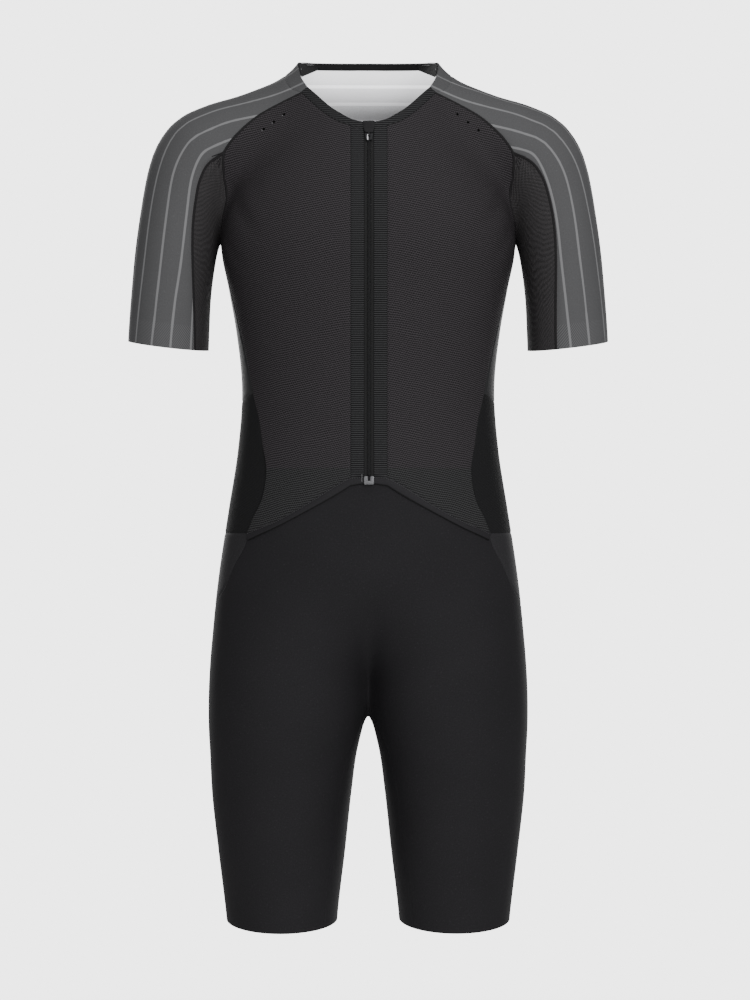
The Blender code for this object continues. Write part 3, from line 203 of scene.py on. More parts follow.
LEG = {
    "columns": ("height", "centre", "half", "front", "back", "square"),
    "rows": (
        (-0.540, 0.0840, 0.0800, 0.1000, 0.112, 2.2),
        (-0.600, 0.0865, 0.0838, 0.1000, 0.122, 2.2),
        (-0.650, 0.0885, 0.0868, 0.0990, 0.124, 2.2),
        (-0.690, 0.0895, 0.0877, 0.0980, 0.115, 2.2),
        (-0.728, 0.0927, 0.0843, 0.0955, 0.101, 2.15),
        (-0.750, 0.0946, 0.0812, 0.0940, 0.094, 2.1),
        (-0.795, 0.0966, 0.0770, 0.0890, 0.086, 2.1),
        (-0.862, 0.0966, 0.0697, 0.0810, 0.077, 2.05),
        (-0.930, 0.0965, 0.0616, 0.0720, 0.068, 2.0),
        (-0.970, 0.0960, 0.0580, 0.0680, 0.064, 2.0),
    ),
}
ARM = {
    "columns": ("across", "height", "depth", "radius", "deep"),
    "rows": (
        (0.0240, -0.0220, 0.004, 0.0490, 0.0560),
        (0.0580, -0.0375, 0.004, 0.0490, 0.0560),
        (0.0920, -0.0525, 0.004, 0.0495, 0.0560),
        (0.1290, -0.0670, 0.004, 0.0500, 0.0570),
        (0.1660, -0.0805, 0.003, 0.0520, 0.0580),
        (0.1820, -0.0885, 0.002, 0.0520, 0.0580),
        (0.1900, -0.0995, 0.001, 0.0515, 0.0570),
        (0.1970, -0.1145, 0.000, 0.0495, 0.0560),
        (0.2027, -0.1330, -0.001, 0.0475, 0.0550),
        (0.2075, -0.1540, -0.002, 0.0460, 0.0540),
        (0.2150, -0.1960, -0.004, 0.0442, 0.0522),
        (0.2197, -0.2390, -0.006, 0.0433, 0.0505),
        (0.2222, -0.2810, -0.008, 0.0438, 0.0490),
        (0.2240, -0.3300, -0.009, 0.0440, 0.0480),
    ),
}
ARM_REACH = -0.36
LEGS_FROM = -0.545
LEGS_OVER = 0.13
CROTCH_FILLET = 0.020
ARMPIT_FILLET = 0.009
SHOULDER_FILLET_MORE = 0.023
SHOULDER_FROM = -0.185
SHAPING = {
    "columns": ("angle", "height", "out", "wide", "high"),
    "rows": (
        (-50.0, -0.165, 0.0050, 28.0, 0.060),
        (50.0, -0.130, 0.0050, 28.0, 0.065),
        (90.0, -0.300, -0.0040, 16.0, 0.150),
    ),
}


def column(table, name):
    return np.array([row[table["columns"].index(name)] for row in table["rows"]], float)


def unit(vectors):
    return vectors / np.linalg.norm(vectors, axis=-1, keepdims=True)


def distances(points):
    """Distance along a curve at each of its points."""
    return np.concatenate([[0.0], np.cumsum(np.linalg.norm(np.diff(points, axis=0), axis=1))])


def spline(knots, values, at):
    """A smooth curve through values at increasing knots, held level past its ends."""
    steps = np.diff(knots)
    slopes = np.diff(values, axis=0) / (steps if values.ndim == 1 else steps[:, None])
    tangents = np.empty_like(values)
    tangents[0] = slopes[0]
    tangents[-1] = slopes[-1]
    before = steps[:-1] if values.ndim == 1 else steps[:-1, None]
    after = steps[1:] if values.ndim == 1 else steps[1:, None]
    tangents[1:-1] = (slopes[:-1] * after + slopes[1:] * before) / (before + after)
    at = np.clip(at, knots[0], knots[-1])
    index = np.clip(np.searchsorted(knots, at, side="right") - 1, 0, len(knots) - 2)
    width = steps[index]
    share = (at - knots[index]) / width
    if values.ndim > 1:
        width = width[..., None]
        share = share[..., None]
    return (
        (2 * share**3 - 3 * share**2 + 1) * values[index]
        + (share**3 - 2 * share**2 + share) * width * tangents[index]
        + (3 * share**2 - 2 * share**3) * values[index + 1]
        + (share**3 - share**2) * width * tangents[index + 1]
    )


def by_height(table, name, height):
    return spline(column(table, "height")[::-1], column(table, name)[::-1], height)


def ramp(share):
    share = np.clip(share, 0.0, 1.0)
    return share * share * (3 - 2 * share)


def blend(a, b, width):
    """The union of two shapes with a fillet of this width."""
    share = np.clip(0.5 + 0.5 * (b - a) / width, 0.0, 1.0)
    return b + (a - b) * share - width * share * (1 - share)


def ring_radius(sine, cosine, half, front, back, square):
    """Radius of a rounded section, where sine points to +X and cosine to +Y."""
    deep = 0.5 * (front + back) + 0.5 * (back - front) * cosine
    powers = (np.abs(sine) / half) ** square + (np.abs(cosine) / deep) ** square
    return np.maximum(powers, 1e-9) ** (-1 / square)


def section(table, x, y, height, names):
    far = np.hypot(x, y) + 1e-9
    sizes = [by_height(table, name, height) for name in names]
    return far - ring_radius(x / far, y / far, *sizes)


def torso_field(x, y, z):
    field = section(TORSO, x, y, z, TORSO["columns"][1:])
    angle = np.degrees(np.arctan2(y, np.abs(x)))
    for middle, height, out, wide, high in SHAPING["rows"]:
        field = field - out * np.exp(-(((angle - middle) / wide) ** 2) - ((z - height) / high) ** 2)
    return field


def leg_field(x, y, z):
    centre = by_height(LEG, "centre", z)
    right = section(LEG, x - centre, y, z, LEG["columns"][2:])
    left = section(LEG, x + centre, y, z, LEG["columns"][2:])
    return blend(left, right, CROTCH_FILLET)


def arm_axis(steps=64):
    """Points along the arm's axis at even steps, with the section sizes there."""
    run = distances(np.stack([column(ARM, "across"), column(ARM, "height")], axis=-1))
    along = np.linspace(0.0, run[-1], steps)
    return along, [spline(run, column(ARM, name), along) for name in ARM["columns"]]


ARM_ALONG, (ARM_X, ARM_Z, ARM_Y, ARM_RADIUS, ARM_DEEP) = arm_axis()


def arm_place(x, y, z):
    """Distance along the arm's axis, and outwards and backwards from it."""
    best = np.full(x.shape, 1e9)
    along = np.zeros(x.shape)
    out = np.zeros(x.shape)
    for i in range(len(ARM_ALONG) - 1):
        run_x = ARM_X[i + 1] - ARM_X[i]
        run_z = ARM_Z[i + 1] - ARM_Z[i]
        length = math.hypot(run_x, run_z)
        from_x = x - ARM_X[i]
        from_z = z - ARM_Z[i]
        share = np.clip((from_x * run_x + from_z * run_z) / length**2, 0.0, 1.0)
        gap = (from_x - share * run_x) ** 2 + (from_z - share * run_z) ** 2
        nearer = gap < best
        best = np.where(nearer, gap, best)
        along = np.where(nearer, ARM_ALONG[i] + share * length, along)
        side = np.sign(from_z * run_x - from_x * run_z)
        out = np.where(nearer, side * np.sqrt(gap), out)
    return along, out, y - np.interp(along, ARM_ALONG, ARM_Y)


def arm_field(x, y, z):
    along, out, back = arm_place(np.abs(x), y, z)
    far = np.hypot(out, back) + 1e-9
    radius = np.interp(along, ARM_ALONG, ARM_RADIUS)
    deep = np.interp(along, ARM_ALONG, ARM_DEEP)
    return far - 1 / np.hypot(out / far / radius, back / far / deep)


def trunk_field(x, y, z):
    share = ramp((LEGS_FROM - z) / LEGS_OVER)
    return torso_field(x, y, z) * (1 - share) + leg_field(x, y, z) * share


def figure(points):
    """Below zero inside the figure and above zero outside it."""
    x, y, z = np.moveaxis(np.atleast_2d(points), -1, 0)
    field = trunk_field(x, y, z)
    near = z > ARM_REACH
    if near.any():
        x, y, z = x[near], y[near], z[near]
        fillet = ARMPIT_FILLET + SHOULDER_FILLET_MORE * ramp((z - SHOULDER_FROM) / 0.08)
        field[near] = blend(field[near], arm_field(x, y, z), fillet)
    return field.reshape(np.shape(points)[:-1])


def gradient(points, step=0.0002):
    slopes = []
    for axis in range(3):
        move = np.zeros(3)
        move[axis] = step
        slopes.append((figure(points + move) - figure(points - move)) / (2 * step))
    return np.stack(slopes, axis=-1)


def settle(points, rounds=7):
    """Moves points onto the figure along its own slope."""
    points = np.array(points, float)
    for _ in range(rounds):
        slope = gradient(points)
        size = (slope**2).sum(axis=-1, keepdims=True)
        move = figure(points)[..., None] * slope / np.maximum(size, 0.05)
        reach = np.linalg.norm(move, axis=-1, keepdims=True)
        points = points - move * np.minimum(1.0, 0.02 / np.maximum(reach, 1e-9))
    return points


def outward(points):
    return unit(gradient(points))


def into_crease(rows):
    """Slides the lower points of an armhole to the bottom of the crease beside the sleeve."""
    points = settle(rows)
    low = points[:, 2] < CREASE_TOP
    for step in CREASE_STEP * CREASE_SHRINK ** np.arange(CREASE_ROUNDS):
        found = points[low]
        slope = gradient(found)
        found[:, 0] += step * slope[:, 0] / np.linalg.norm(slope, axis=-1)
        slope[:, 0] = 0.0
        size = (slope**2).sum(axis=-1, keepdims=True)
        move = figure(found)[:, None] * slope / np.maximum(size, 0.05)
        points[low] = found - np.clip(move, -CREASE_STEP, CREASE_STEP)
    return points


def on_centre(points):
    points = settle(points)
    points[..., 0] = 0.0
    return points


def on_front(x, z):
    """Points of the front surface at these distances across and heights."""
    x, z = np.broadcast_arrays(np.asarray(x, float), np.asarray(z, float))
    inside = np.full(x.shape, -0.02)
    outside = np.full(x.shape, -0.20)
    for _ in range(30):
        middle = (inside + outside) / 2
        within = figure(np.stack([x, middle, z], axis=-1)) < 0
        inside = np.where(within, middle, inside)
        outside = np.where(within, outside, middle)
    return np.stack([x, inside, z], axis=-1)


def on_torso(height, angle):
    """Points of the torso at these heights, at an angle turned from the front to +X."""
    height = np.asarray(height, float)
    turn = np.radians(np.asarray(angle, float))
    sizes = [by_height(TORSO, name, height) for name in TORSO["columns"][1:]]
    radius = ring_radius(np.sin(turn), -np.cos(turn), *sizes)
    guess = np.stack([radius * np.sin(turn), -radius * np.cos(turn), height], axis=-1)
    for _ in range(4):
        guess = settle(guess, rounds=3)
        guess[..., 2] = height
    return guess


def on_plane(points, height, across, back, centre=0.0):
    """Settles points where the figure meets a sloping plane, as at a hem."""
    for _ in range(8):
        points = settle(points, rounds=2)
        points[..., 2] = height + across * (points[..., 0] - centre) + back * points[..., 1]
    return points


def on_cuff(points):
    return on_plane(points, CUFF_HEIGHT, CUFF_SLOPE_ACROSS, CUFF_SLOPE_BACK, CUFF_CENTRE)


def on_hem(points):
    return on_plane(points, HEM_HEIGHT, 0.0, HEM_SLOPE_BACK)


def along_curve(points, pieces):
    """The curve through these points, cut into even pieces."""
    points = np.asarray(points, float)
    run = distances(points)
    return spline(run, points, np.linspace(0.0, run[-1], pieces + 1))


def seam(rows, pieces=None):
    """A seam through rows of x, y and z, at its rows or cut into even pieces."""
    points = np.array(rows, float)
    if pieces:
        points = along_curve(settle(points), pieces)
    return settle(points)


def pieces_in(*curves):
    """How many pieces there are in seams laid end to end."""
    return sum(len(curve) - 1 for curve in curves)


def join(*curves):
    """Seams laid end to end, each starting where the last one ends."""
    return np.concatenate([curves[0]] + [curve[1:] for curve in curves[1:]])


def relax(grid, rounds):
    """Evens out the points inside a grid along the figure."""
    for _ in range(rounds):
        around = grid[:-2, 1:-1] + grid[2:, 1:-1] + grid[1:-1, :-2] + grid[1:-1, 2:]
        grid[1:-1, 1:-1] = settle(0.3 * grid[1:-1, 1:-1] + 0.175 * around, rounds=1)
    grid[1:-1, 1:-1] = settle(grid[1:-1, 1:-1], rounds=3)
    return grid


def lift(points):
    """How far the front panels stand off the figure, where they cover the shorts."""
    return FLAP_LIFT * ramp((LIFT_START - points[..., 2]) / (LIFT_START - WAIST_FRONT - 0.004))


def mirrored(points):
    return points * np.array([-1.0, 1.0, 1.0])


def unmoved(points):
    return points


SIDES = (("_r", unmoved), ("_l", mirrored))


def arm_turned(points, turn, weights):
    """Turns points about the arm's axis."""
    along, out, back = arm_place(points[:, 0], points[:, 1], points[:, 2])
    far = np.hypot(out, back)
    angle = np.arctan2(back, out) + np.radians(turn) * weights
    return arm_point(along, angle, far)


def arm_point(along, angle, far):
    """The point at an angle about the arm's axis: 0 is outwards, a quarter turn is back."""
    x = np.interp(along, ARM_ALONG, ARM_X)
    z = np.interp(along, ARM_ALONG, ARM_Z)
    y = np.interp(along, ARM_ALONG, ARM_Y)
    step = 0.002
    run_x = np.interp(along + step, ARM_ALONG, ARM_X) - np.interp(along - step, ARM_ALONG, ARM_X)
    run_z = np.interp(along + step, ARM_ALONG, ARM_Z) - np.interp(along - step, ARM_ALONG, ARM_Z)
    length = np.hypot(run_x, run_z)
    out = far * np.cos(angle)
    return np.stack(
        [x - out * run_z / length, y + far * np.sin(angle), z + out * run_x / length], axis=-1
    )


NECK_SHOULDER = (
    (0.0671, -0.0541, -0.0162),
    (0.0726, -0.0444, -0.0068),
    (0.0757, -0.0255, 0.0065),
    (0.0745, -0.0070, 0.0138),
    (0.0700, 0.0120, 0.0185),
)
NECK_BACK = (
    (0.0000, 0.0610, 0.0290),
    (0.0230, 0.0585, 0.0286),
    (0.0440, 0.0500, 0.0272),
    (0.0610, 0.0330, 0.0238),
    (0.0700, 0.0120, 0.0185),
)
RAGLAN_FRONT = (
    (0.0671, -0.0541, -0.0162),
    (0.0747, -0.0534, -0.0221),
    (0.0950, -0.0493, -0.0315),
    (0.1205, -0.0497, -0.0455),
    (0.1390, -0.0528, -0.0608),
    (0.1520, -0.0540, -0.0750),
    (0.1600, -0.0540, -0.0870),
)
RAGLAN_BACK = (
    (0.0700, 0.0120, 0.0185),
    (0.0765, 0.0200, 0.0125),
    (0.0940, 0.0400, -0.0080),
    (0.1160, 0.0560, -0.0310),
    (0.1370, 0.0620, -0.0520),
    (0.1520, 0.0630, -0.0710),
    (0.1600, 0.0600, -0.0870),
)
ARMHOLE_FRONT = (
    (0.1600, -0.0540, -0.0870),
    (0.1615, -0.0450, -0.1100),
    (0.1620, -0.0335, -0.1360),
    (0.1630, -0.0240, -0.1590),
    (0.1655, -0.0180, -0.1740),
    (0.1690, -0.0120, -0.1830),
)
ARMHOLE_BACK = (
    (0.1600, 0.0600, -0.0870),
    (0.1620, 0.0520, -0.1100),
    (0.1630, 0.0400, -0.1360),
    (0.1640, 0.0300, -0.1590),
    (0.1660, 0.0220, -0.1740),
    (0.1690, 0.0140, -0.1830),
)
UNDERARM = (
    (0.1690, -0.0120, -0.1830),
    (0.1700, 0.0010, -0.1850),
    (0.1690, 0.0140, -0.1830),
)
SLEEVE_FRONT = (
    (0.1600, -0.0540, -0.0870),
    (0.1800, -0.0550, -0.1000),
    (0.1905, -0.0550, -0.1185),
    (0.1960, -0.0545, -0.1400),
    (0.1995, -0.0545, -0.1620),
    (0.2012, -0.0537, -0.1850),
    (0.2015, -0.0525, -0.2080),
    (0.2010, -0.0515, -0.2320),
    (0.2005, -0.0505, -0.2560),
    (0.2004, -0.0495, -0.2800),
    (0.2004, -0.0490, -0.3052),
)


# Soft creases: ends, width and depth of each trough, in millimetres, on the side it is on.
CREASES = {
    "columns": ("x1", "y1", "z1", "x2", "y2", "z2", "width", "depth"),
    "rows": (
        (164, -54, -90, 170, -52, -112, 2.3, 1.5),
        (163, -53, -95, 164, -48, -124, 2.4, 1.2),
        (168, -55, -93, 180, -53, -108, 2.2, 1.4),
        (174, -55, -96, 187, -54, -117, 2.3, 1.0),
        (-164, -54, -90, -169, -51, -116, 2.4, 1.6),
        (-162, -53, -96, -162, -48, -119, 2.2, 1.1),
        (-168, -55, -92, -180, -53, -111, 2.3, 1.5),
        (-173, -55, -95, -188, -54, -113, 2.2, 1.1),
        (155, -45, -132, 118, -95, -176, 7.0, 1.3),
        (160, -33, -160, 134, -85, -215, 6.0, 1.0),
        (-155, -45, -130, -120, -95, -186, 8.0, 1.5),
        (-160, -30, -165, -138, -80, -222, 6.0, 0.9),
        (150, 55, -120, 110, 95, -190, 8.0, 1.5),
        (158, 35, -155, 128, 85, -226, 7.0, 1.2),
        (-150, 55, -122, -112, 95, -200, 8.0, 1.4),
        (-158, 35, -150, -120, 88, -215, 7.0, 1.3),
        (20, 92, -338, 100, 80, -352, 7.0, 1.3),
        (-12, 92, -362, -92, 82, -350, 8.0, 1.4),
        (30, 94, -384, 96, 84, -396, 7.0, 1.1),
        (-24, 92, -318, -84, 84, -306, 7.0, 1.0),
        (24, -62, -704, 78, -96, -664, 6.0, 1.2),
        (-24, -62, -704, -84, -96, -668, 6.5, 1.3),
        (30, -55, -722, 92, -92, -706, 7.0, 0.9),
        (-30, -55, -722, -88, -92, -700, 6.5, 0.8),
        (20, 90, -690, 84, 116, -640, 8.0, 1.8),
        (-22, 90, -692, -90, 114, -650, 8.0, 1.7),
        (30, 66, -716, 110, 92, -694, 7.0, 1.3),
        (-30, 66, -718, -104, 92, -688, 7.0, 1.4),
        (196, 40, -150, 214, 46, -172, 5.0, 0.9),
        (-198, 40, -158, -218, 44, -176, 5.0, 1.0),
        (186, 0, -206, 200, -40, -226, 4.5, 0.8),
        (-186, 0, -212, -198, -42, -236, 4.5, 0.9),
        (184, 10, -236, 198, 40, -250, 5.0, 0.8),
        (-184, 10, -230, -200, 38, -244, 5.0, 0.9),
    ),
}


def crease_depth(points):
    """How far the creases draw the cloth in at these points."""
    depth = np.zeros(points.shape[:-1])
    for x1, y1, z1, x2, y2, z2, width, deep in CREASES["rows"]:
        start = np.array([x1, y1, z1]) * MM
        run = np.array([x2, y2, z2]) * MM - start
        share = ((points - start) @ run) / (run @ run)
        held = np.clip(share, 0.0, 1.0)
        off = np.linalg.norm(points - start - held[..., None] * run, axis=-1) / (width * MM)
        taper = np.sin(math.pi * (0.12 + 0.76 * held)) ** 2
        depth = depth + deep * MM * taper * (np.exp(-(off**2)) - 0.45 * np.exp(-((off - 2.0) ** 2)))
    return depth


class Side:
    """One side of a panel: seams laid end to end, and the place on them of each of its rows."""

    def __init__(self, *seams, rows=None, places=None):
        self.seams = seams
        self.places = np.arange(pieces_in(*seams) + 1.0) if places is None else np.asarray(places, float)
        if rows:
            self.places = self.filled(rows)
        self.rows = len(self.places)

    def filled(self, rows):
        """Places with more added on the longest stretches until there are this many rows."""
        points = join(*self.seams)
        index = np.arange(len(points))
        found = np.stack([np.interp(self.places, index, axis) for axis in points.T], axis=-1)
        lengths = np.linalg.norm(np.diff(found, axis=0), axis=1)
        counts = np.ones(len(lengths), int)
        while counts.sum() < rows:
            counts[np.argmax(lengths / counts)] += 1
        parts = [
            a + (b - a) * np.arange(count) / count for a, b, count in zip(self.places, self.places[1:], counts)
        ]
        return np.concatenate(parts + [self.places[-1:]])

    def at(self, row):
        """Points of the side at these row numbers, whole or in between."""
        place = np.interp(row, np.arange(self.rows), self.places)
        points = np.empty((len(place), 3))
        first = 0
        for curve in self.seams:
            last = first + len(curve) - 1
            here = (place >= first - 1e-9) & (place <= last + 1e-9)
            run = distances(curve)
            points[here] = spline(run, curve, np.interp(place[here] - first, np.arange(len(curve)), run))
            first = last
        return settle(points)

    def knots(self):
        return self.at(np.arange(self.rows))


def smooth(knots, values, at):
    return spline(knots, values.reshape(len(values), -1), at).reshape(len(at), *values.shape[1:])


def lines(run, step):
    """Places for a panel's lines: through its rows, evenly between, and close beside its seams."""
    parts = [
        np.linspace(a, b, max(1, round((b - a) / step)), endpoint=False) for a, b in zip(run, run[1:])
    ]
    even = np.concatenate(parts + [[run[-1]]])
    near = np.array([0.5, 1.1, 2.2]) * MM
    near = near[near < 0.3 * run[-1]]
    clear = near[-1] + 0.4 * MM if len(near) else 0.0
    inside = even[(even > clear) & (even < run[-1] - clear)]
    return np.concatenate([[0.0], near, inside, run[-1] - near[::-1], [run[-1]]])


def coons(start, end, top, bottom):
    """Points spread between four sides."""
    v = np.linspace(0.0, 1.0, len(start))[:, None, None]
    u = np.linspace(0.0, 1.0, len(top))[None, :, None]
    grid = (1 - u) * start[:, None] + u * end[:, None] + (1 - v) * top[None] + v * bottom[None]
    grid = grid - (1 - u) * (1 - v) * top[0] - u * (1 - v) * top[-1]
    return grid - (1 - u) * v * bottom[0] - u * v * bottom[-1]


def spread(sides, rounds):
    """A panel's coarse grid on the figure, evened out between its sides."""
    grid = coons(*(side.knots() for side in sides))
    grid[1:-1, 1:-1] = settle(grid[1:-1, 1:-1])
    return relax(grid, rounds)


def mean_run(grid):
    """Mean distance down the columns of a grid, at each of its rows."""
    return np.mean([distances(grid[:, i]) for i in range(grid.shape[1])], axis=0)


def refine(grid, sides, across, down):
    """The same grid with fine lines whose ends lie exactly on its seams."""
    run_v, run_u = mean_run(grid), mean_run(grid.swapaxes(0, 1))
    at_v, at_u = lines(run_v, down), lines(run_u, across)
    fine = smooth(run_v, grid, at_v)
    fine = smooth(run_u, fine.swapaxes(0, 1), at_u).swapaxes(0, 1)
    row = np.interp(at_v, run_v, np.arange(len(run_v)))
    place = np.interp(at_u, run_u, np.arange(len(run_u)))
    start, end, top, bottom = (side.at(at) for side, at in zip(sides, (row, row, place, place)))
    u = (at_u / at_u[-1])[None, :, None]
    v = (at_v / at_v[-1])[:, None, None]
    fine = fine + (1 - u) * (start - fine[:, 0])[:, None] + u * (end - fine[:, -1])[:, None]
    fine = fine + (1 - v) * (top - fine[0])[None] + v * (bottom - fine[-1])[None]
    fine[1:-1, 1:-1] = settle(fine[1:-1, 1:-1], rounds=3)
    return fine, at_u, at_v


def grid_faces(rows, columns):
    """The faces between a grid's points, which are numbered row by row."""
    index = np.arange(rows * columns).reshape(rows, columns)
    return np.stack([index[:-1, :-1], index[1:, :-1], index[1:, 1:], index[:-1, 1:]], axis=-1).reshape(-1, 4)


def seam_dip(distance):
    """How far the outer face rolls in beside a seam."""
    return SEAM_DIP * (1 - ramp(distance / SEAM_ROLL))


def shell(name, fine, at_u, at_v, made, dips=(), weld=None, flip=False, raised=False, relief=None,
          low=INNER_FACE, high=OUTER_FACE, inner_made=None, stripes=None, level=False):
    """A thin closed sheet of cloth on a fine grid. weld mirrors it across the centre."""
    rows, columns = fine.shape[:2]
    base = fine.reshape(-1, 3)
    normals = outward(base)
    dip_v = seam_dip(at_v) * ("top" in dips) + seam_dip(at_v[-1] - at_v) * ("bottom" in dips)
    dip_u = seam_dip(at_u) * ("start" in dips) + seam_dip(at_u[-1] - at_u) * ("end" in dips)
    outer = high - np.maximum(dip_v[:, None], dip_u[None, :]).ravel()
    if relief is not None:
        raised_by = relief(at_u, at_v, fine).ravel()
        outer = outer + raised_by
        # With relief, the stripes map carries the relief height, which paints shade into the ribbed bands and
        # the binding's rolled edge.
        stripes = stripes or (lambda _: np.stack([raised_by / RIB_HEIGHT, 0 * raised_by], axis=-1))
    run_u = np.stack([distances(row) for row in fine]).ravel()
    run_v = np.stack([distances(fine[:, i]) for i in range(columns)], axis=1).ravel()
    cloth_uv = np.stack([run_u, -base[:, 2] if level else run_v], axis=-1)
    stripe_uv = stripes(base) if stripes else None
    quads = grid_faces(rows, columns)
    if weld is not None:
        shared = np.arange(weld + 1) * columns
        base[shared, 0] = 0.0
        normals[shared, 0] = 0.0
        normals = unit(normals)
        others = np.setdiff1d(np.arange(len(base)), shared)
        image = np.arange(len(base))
        image[others] = len(base) + np.arange(len(others))
        quads = np.concatenate([quads, image[quads][:, ::-1]])
        base = np.concatenate([base, mirrored(base[others])])
        normals = np.concatenate([normals, mirrored(normals[others])])
        outer = np.concatenate([outer, outer[others]])
        cloth_uv = np.concatenate([cloth_uv, cloth_uv[others] * (-1.0, 1.0)])
        if stripes:
            stripe_uv = np.concatenate([stripe_uv, stripe_uv[others]])
    if flip:
        base, normals, quads = mirrored(base), mirrored(normals), quads[:, ::-1]
    off = -crease_depth(base) + (lift(base) if raised else 0.0)
    outside = base + normals * (off + outer)[:, None]
    inside = base + normals * (off + low)[:, None]
    return sheet_object(name, outside, inside, quads, made, inner_made, cloth_uv, stripe_uv)


def sheet_object(name, outside, inside, quads, made, inner_made=None, cloth_uv=None, stripe_uv=None):
    """Closes two skins with a rim, and lays the cloth's own measure on them as UV maps."""
    count = len(outside)
    corners = outside[quads]
    facing = np.cross(corners[:, 2] - corners[:, 0], corners[:, 3] - corners[:, 1])
    if (facing * (outside - inside)[quads[:, 0]]).sum() < 0:
        quads = quads[:, ::-1]
    pairs = np.concatenate([quads[:, [i, (i + 1) % 4]] for i in range(4)])
    directed = set(map(tuple, pairs.tolist()))
    rim = np.array([(b, a, a + count, b + count) for a, b in sorted(directed) if (b, a) not in directed])
    faces = np.concatenate([quads, quads[:, ::-1] + count, rim])
    mesh = bpy.data.meshes.new(name)
    mesh.from_pydata(np.concatenate([outside, inside]).tolist(), [], faces.tolist())
    mesh.materials.append(made)
    mesh.materials.append(inner_made or made)
    slots = np.zeros(len(faces), np.int32)
    slots[len(quads): 2 * len(quads)] = 1
    mesh.polygons.foreach_set("material_index", slots)
    for layer, values in (("cloth", cloth_uv), ("stripes", stripe_uv)):
        if values is not None:
            both = np.concatenate([values, values])
            map_of = mesh.uv_layers.new(name=layer)
            map_of.data.foreach_set("uv", both[faces.ravel()].astype(np.float32).ravel())
    mesh.shade_smooth()
    mesh.set_sharp_from_angle(angle=SHARP_CLOTH)
    return linked(name, mesh)


def linked(name, mesh):
    piece = bpy.data.objects.new(name, mesh)
    bpy.context.scene.collection.objects.link(piece)
    return piece


def declare_piece(piece, node=None, body="suit"):
    """Hangs a piece on the body it rides, and hides the solid it stands for."""
    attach(piece, body)
    if node:
        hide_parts(node)


def declare_cloth(piece, node):
    """Hangs a sheet on the suit, and hides the solid it stands for."""
    declare_piece(piece, node)


def panel(name, sides, made, slot, rounds=30, across=LINE_STEP, down=LINE_STEP, grid=None, only=None,
          weld=None, **settings):
    """A cloth panel and, unless it is welded at the centre or only for one side, its mirror image."""
    coarse = spread(sides, rounds) if grid is None else grid
    fine, at_u, at_v = refine(coarse, sides, across, down)
    if weld is not None:
        weld = int(np.searchsorted(at_v, np.interp(weld, np.arange(len(coarse)), mean_run(coarse)) - 1e-6))
        piece = shell(name + "_cloth", fine, at_u, at_v, made, weld=weld, **settings)
        declare_cloth(piece, name)
        return
    for side, flip in (("_r", False), ("_l", True)):
        if only in (None, side):
            piece = shell(name + side + "_cloth", fine, at_u, at_v, made, flip=flip, **settings)
            declare_cloth(piece, name + side)


# Pinstripes: angle about the arm at each distance from the neck, -90 in front and 0 outwards.
STRIPES_R = {
    "columns": ("along", "first", "second", "third", "fourth", "fifth"),
    "rows": (
        (0.040, -47.0, -66.0, -88.0, -112.0, -135.0),
        (0.090, -31.0, -60.0, -82.0, -104.0, -125.0),
        (0.130, -30.0, -55.0, -78.0, -98.0, -119.0),
        (0.165, -28.0, -54.5, -74.8, -92.0, -114.0),
        (0.200, -24.0, -48.0, -70.6, -92.0, -114.0),
        (0.240, -20.0, -44.5, -70.5, -92.0, -114.0),
        (0.300, -14.0, -41.0, -72.0, -95.0, -118.0),
        (0.350, -8.0, -35.0, -69.0, -93.6, -120.0),
        (0.392, -3.0, -29.5, -65.6, -90.8, -118.0),
    ),
}
STRIPES_L = {
    "columns": STRIPES_R["columns"],
    "rows": (
        (0.040, -31.0, -61.0, -86.0, -112.0, -135.0),
        (0.090, -20.0, -52.5, -76.0, -98.0, -122.0),
        (0.130, -19.0, -46.5, -70.0, -90.0, -114.0),
        (0.165, -20.0, -46.0, -71.0, -90.0, -112.0),
        (0.200, -22.0, -49.0, -71.5, -93.0, -115.0),
        (0.240, -24.0, -50.0, -75.0, -98.0, -120.0),
        (0.300, -26.0, -51.6, -77.5, -101.5, -124.0),
        (0.350, -22.0, -47.5, -75.5, -98.3, -124.5),
        (0.392, -17.0, -43.0, -71.5, -96.0, -124.5),
    ),
}
STRIPE_TURN = 28.0
STRIPE_HALF = 1.25 * MM
STRIPE_EDGE = 1 / (0.4 * MM)
HATCH_PITCH = 3.4 * MM


def sleeve_stripes(table):
    """A map of stripe number and of the distance between stripes, for cloth on the arm."""
    def measure(base):
        along, out, back = arm_place(np.abs(base[:, 0]), base[:, 1], base[:, 2])
        angle = np.degrees(np.arctan2(back, out))
        angle = np.where(angle > 150.0, angle - 360.0, angle)
        angles = spline(column(table, "along"), np.array([row[1:] for row in table["rows"]]), along)
        number = (angles[:, 0] - angle) / STRIPE_TURN
        gap = np.full(len(base), STRIPE_TURN)
        for i in range(4):
            low, high = angles[:, i + 1], angles[:, i]
            within = (angle <= high) & (angle > low)
            number = np.where(within, i + (high - angle) / (high - low), number)
            gap = np.where(within, high - low, gap)
        beyond = angle <= angles[:, 4]
        number = np.where(beyond, 4 + (angles[:, 4] - angle) / STRIPE_TURN, number)
        return np.stack([number + 20.0, np.radians(gap) * np.hypot(out, back)], axis=-1)
    return measure


def socketed(name, inputs, outputs):
    """A shader node group with named sockets, and its tree, input node and output node."""
    tree = bpy.data.node_groups.new(name, "ShaderNodeTree")
    for kind, sockets in (("INPUT", inputs), ("OUTPUT", outputs)):
        for socket, value in sockets.items():
            form = "NodeSocketVector" if value is None else "NodeSocketFloat"
            made = tree.interface.new_socket(name=socket, in_out=kind, socket_type=form)
            if value is not None and kind == "INPUT":
                made.default_value = value
    return tree, tree.nodes.new("NodeGroupInput"), tree.nodes.new("NodeGroupOutput")


def maths(tree, operation, *values):
    return add_node(tree, "ShaderNodeMath", dict(enumerate(values)), operation=operation).outputs[0]


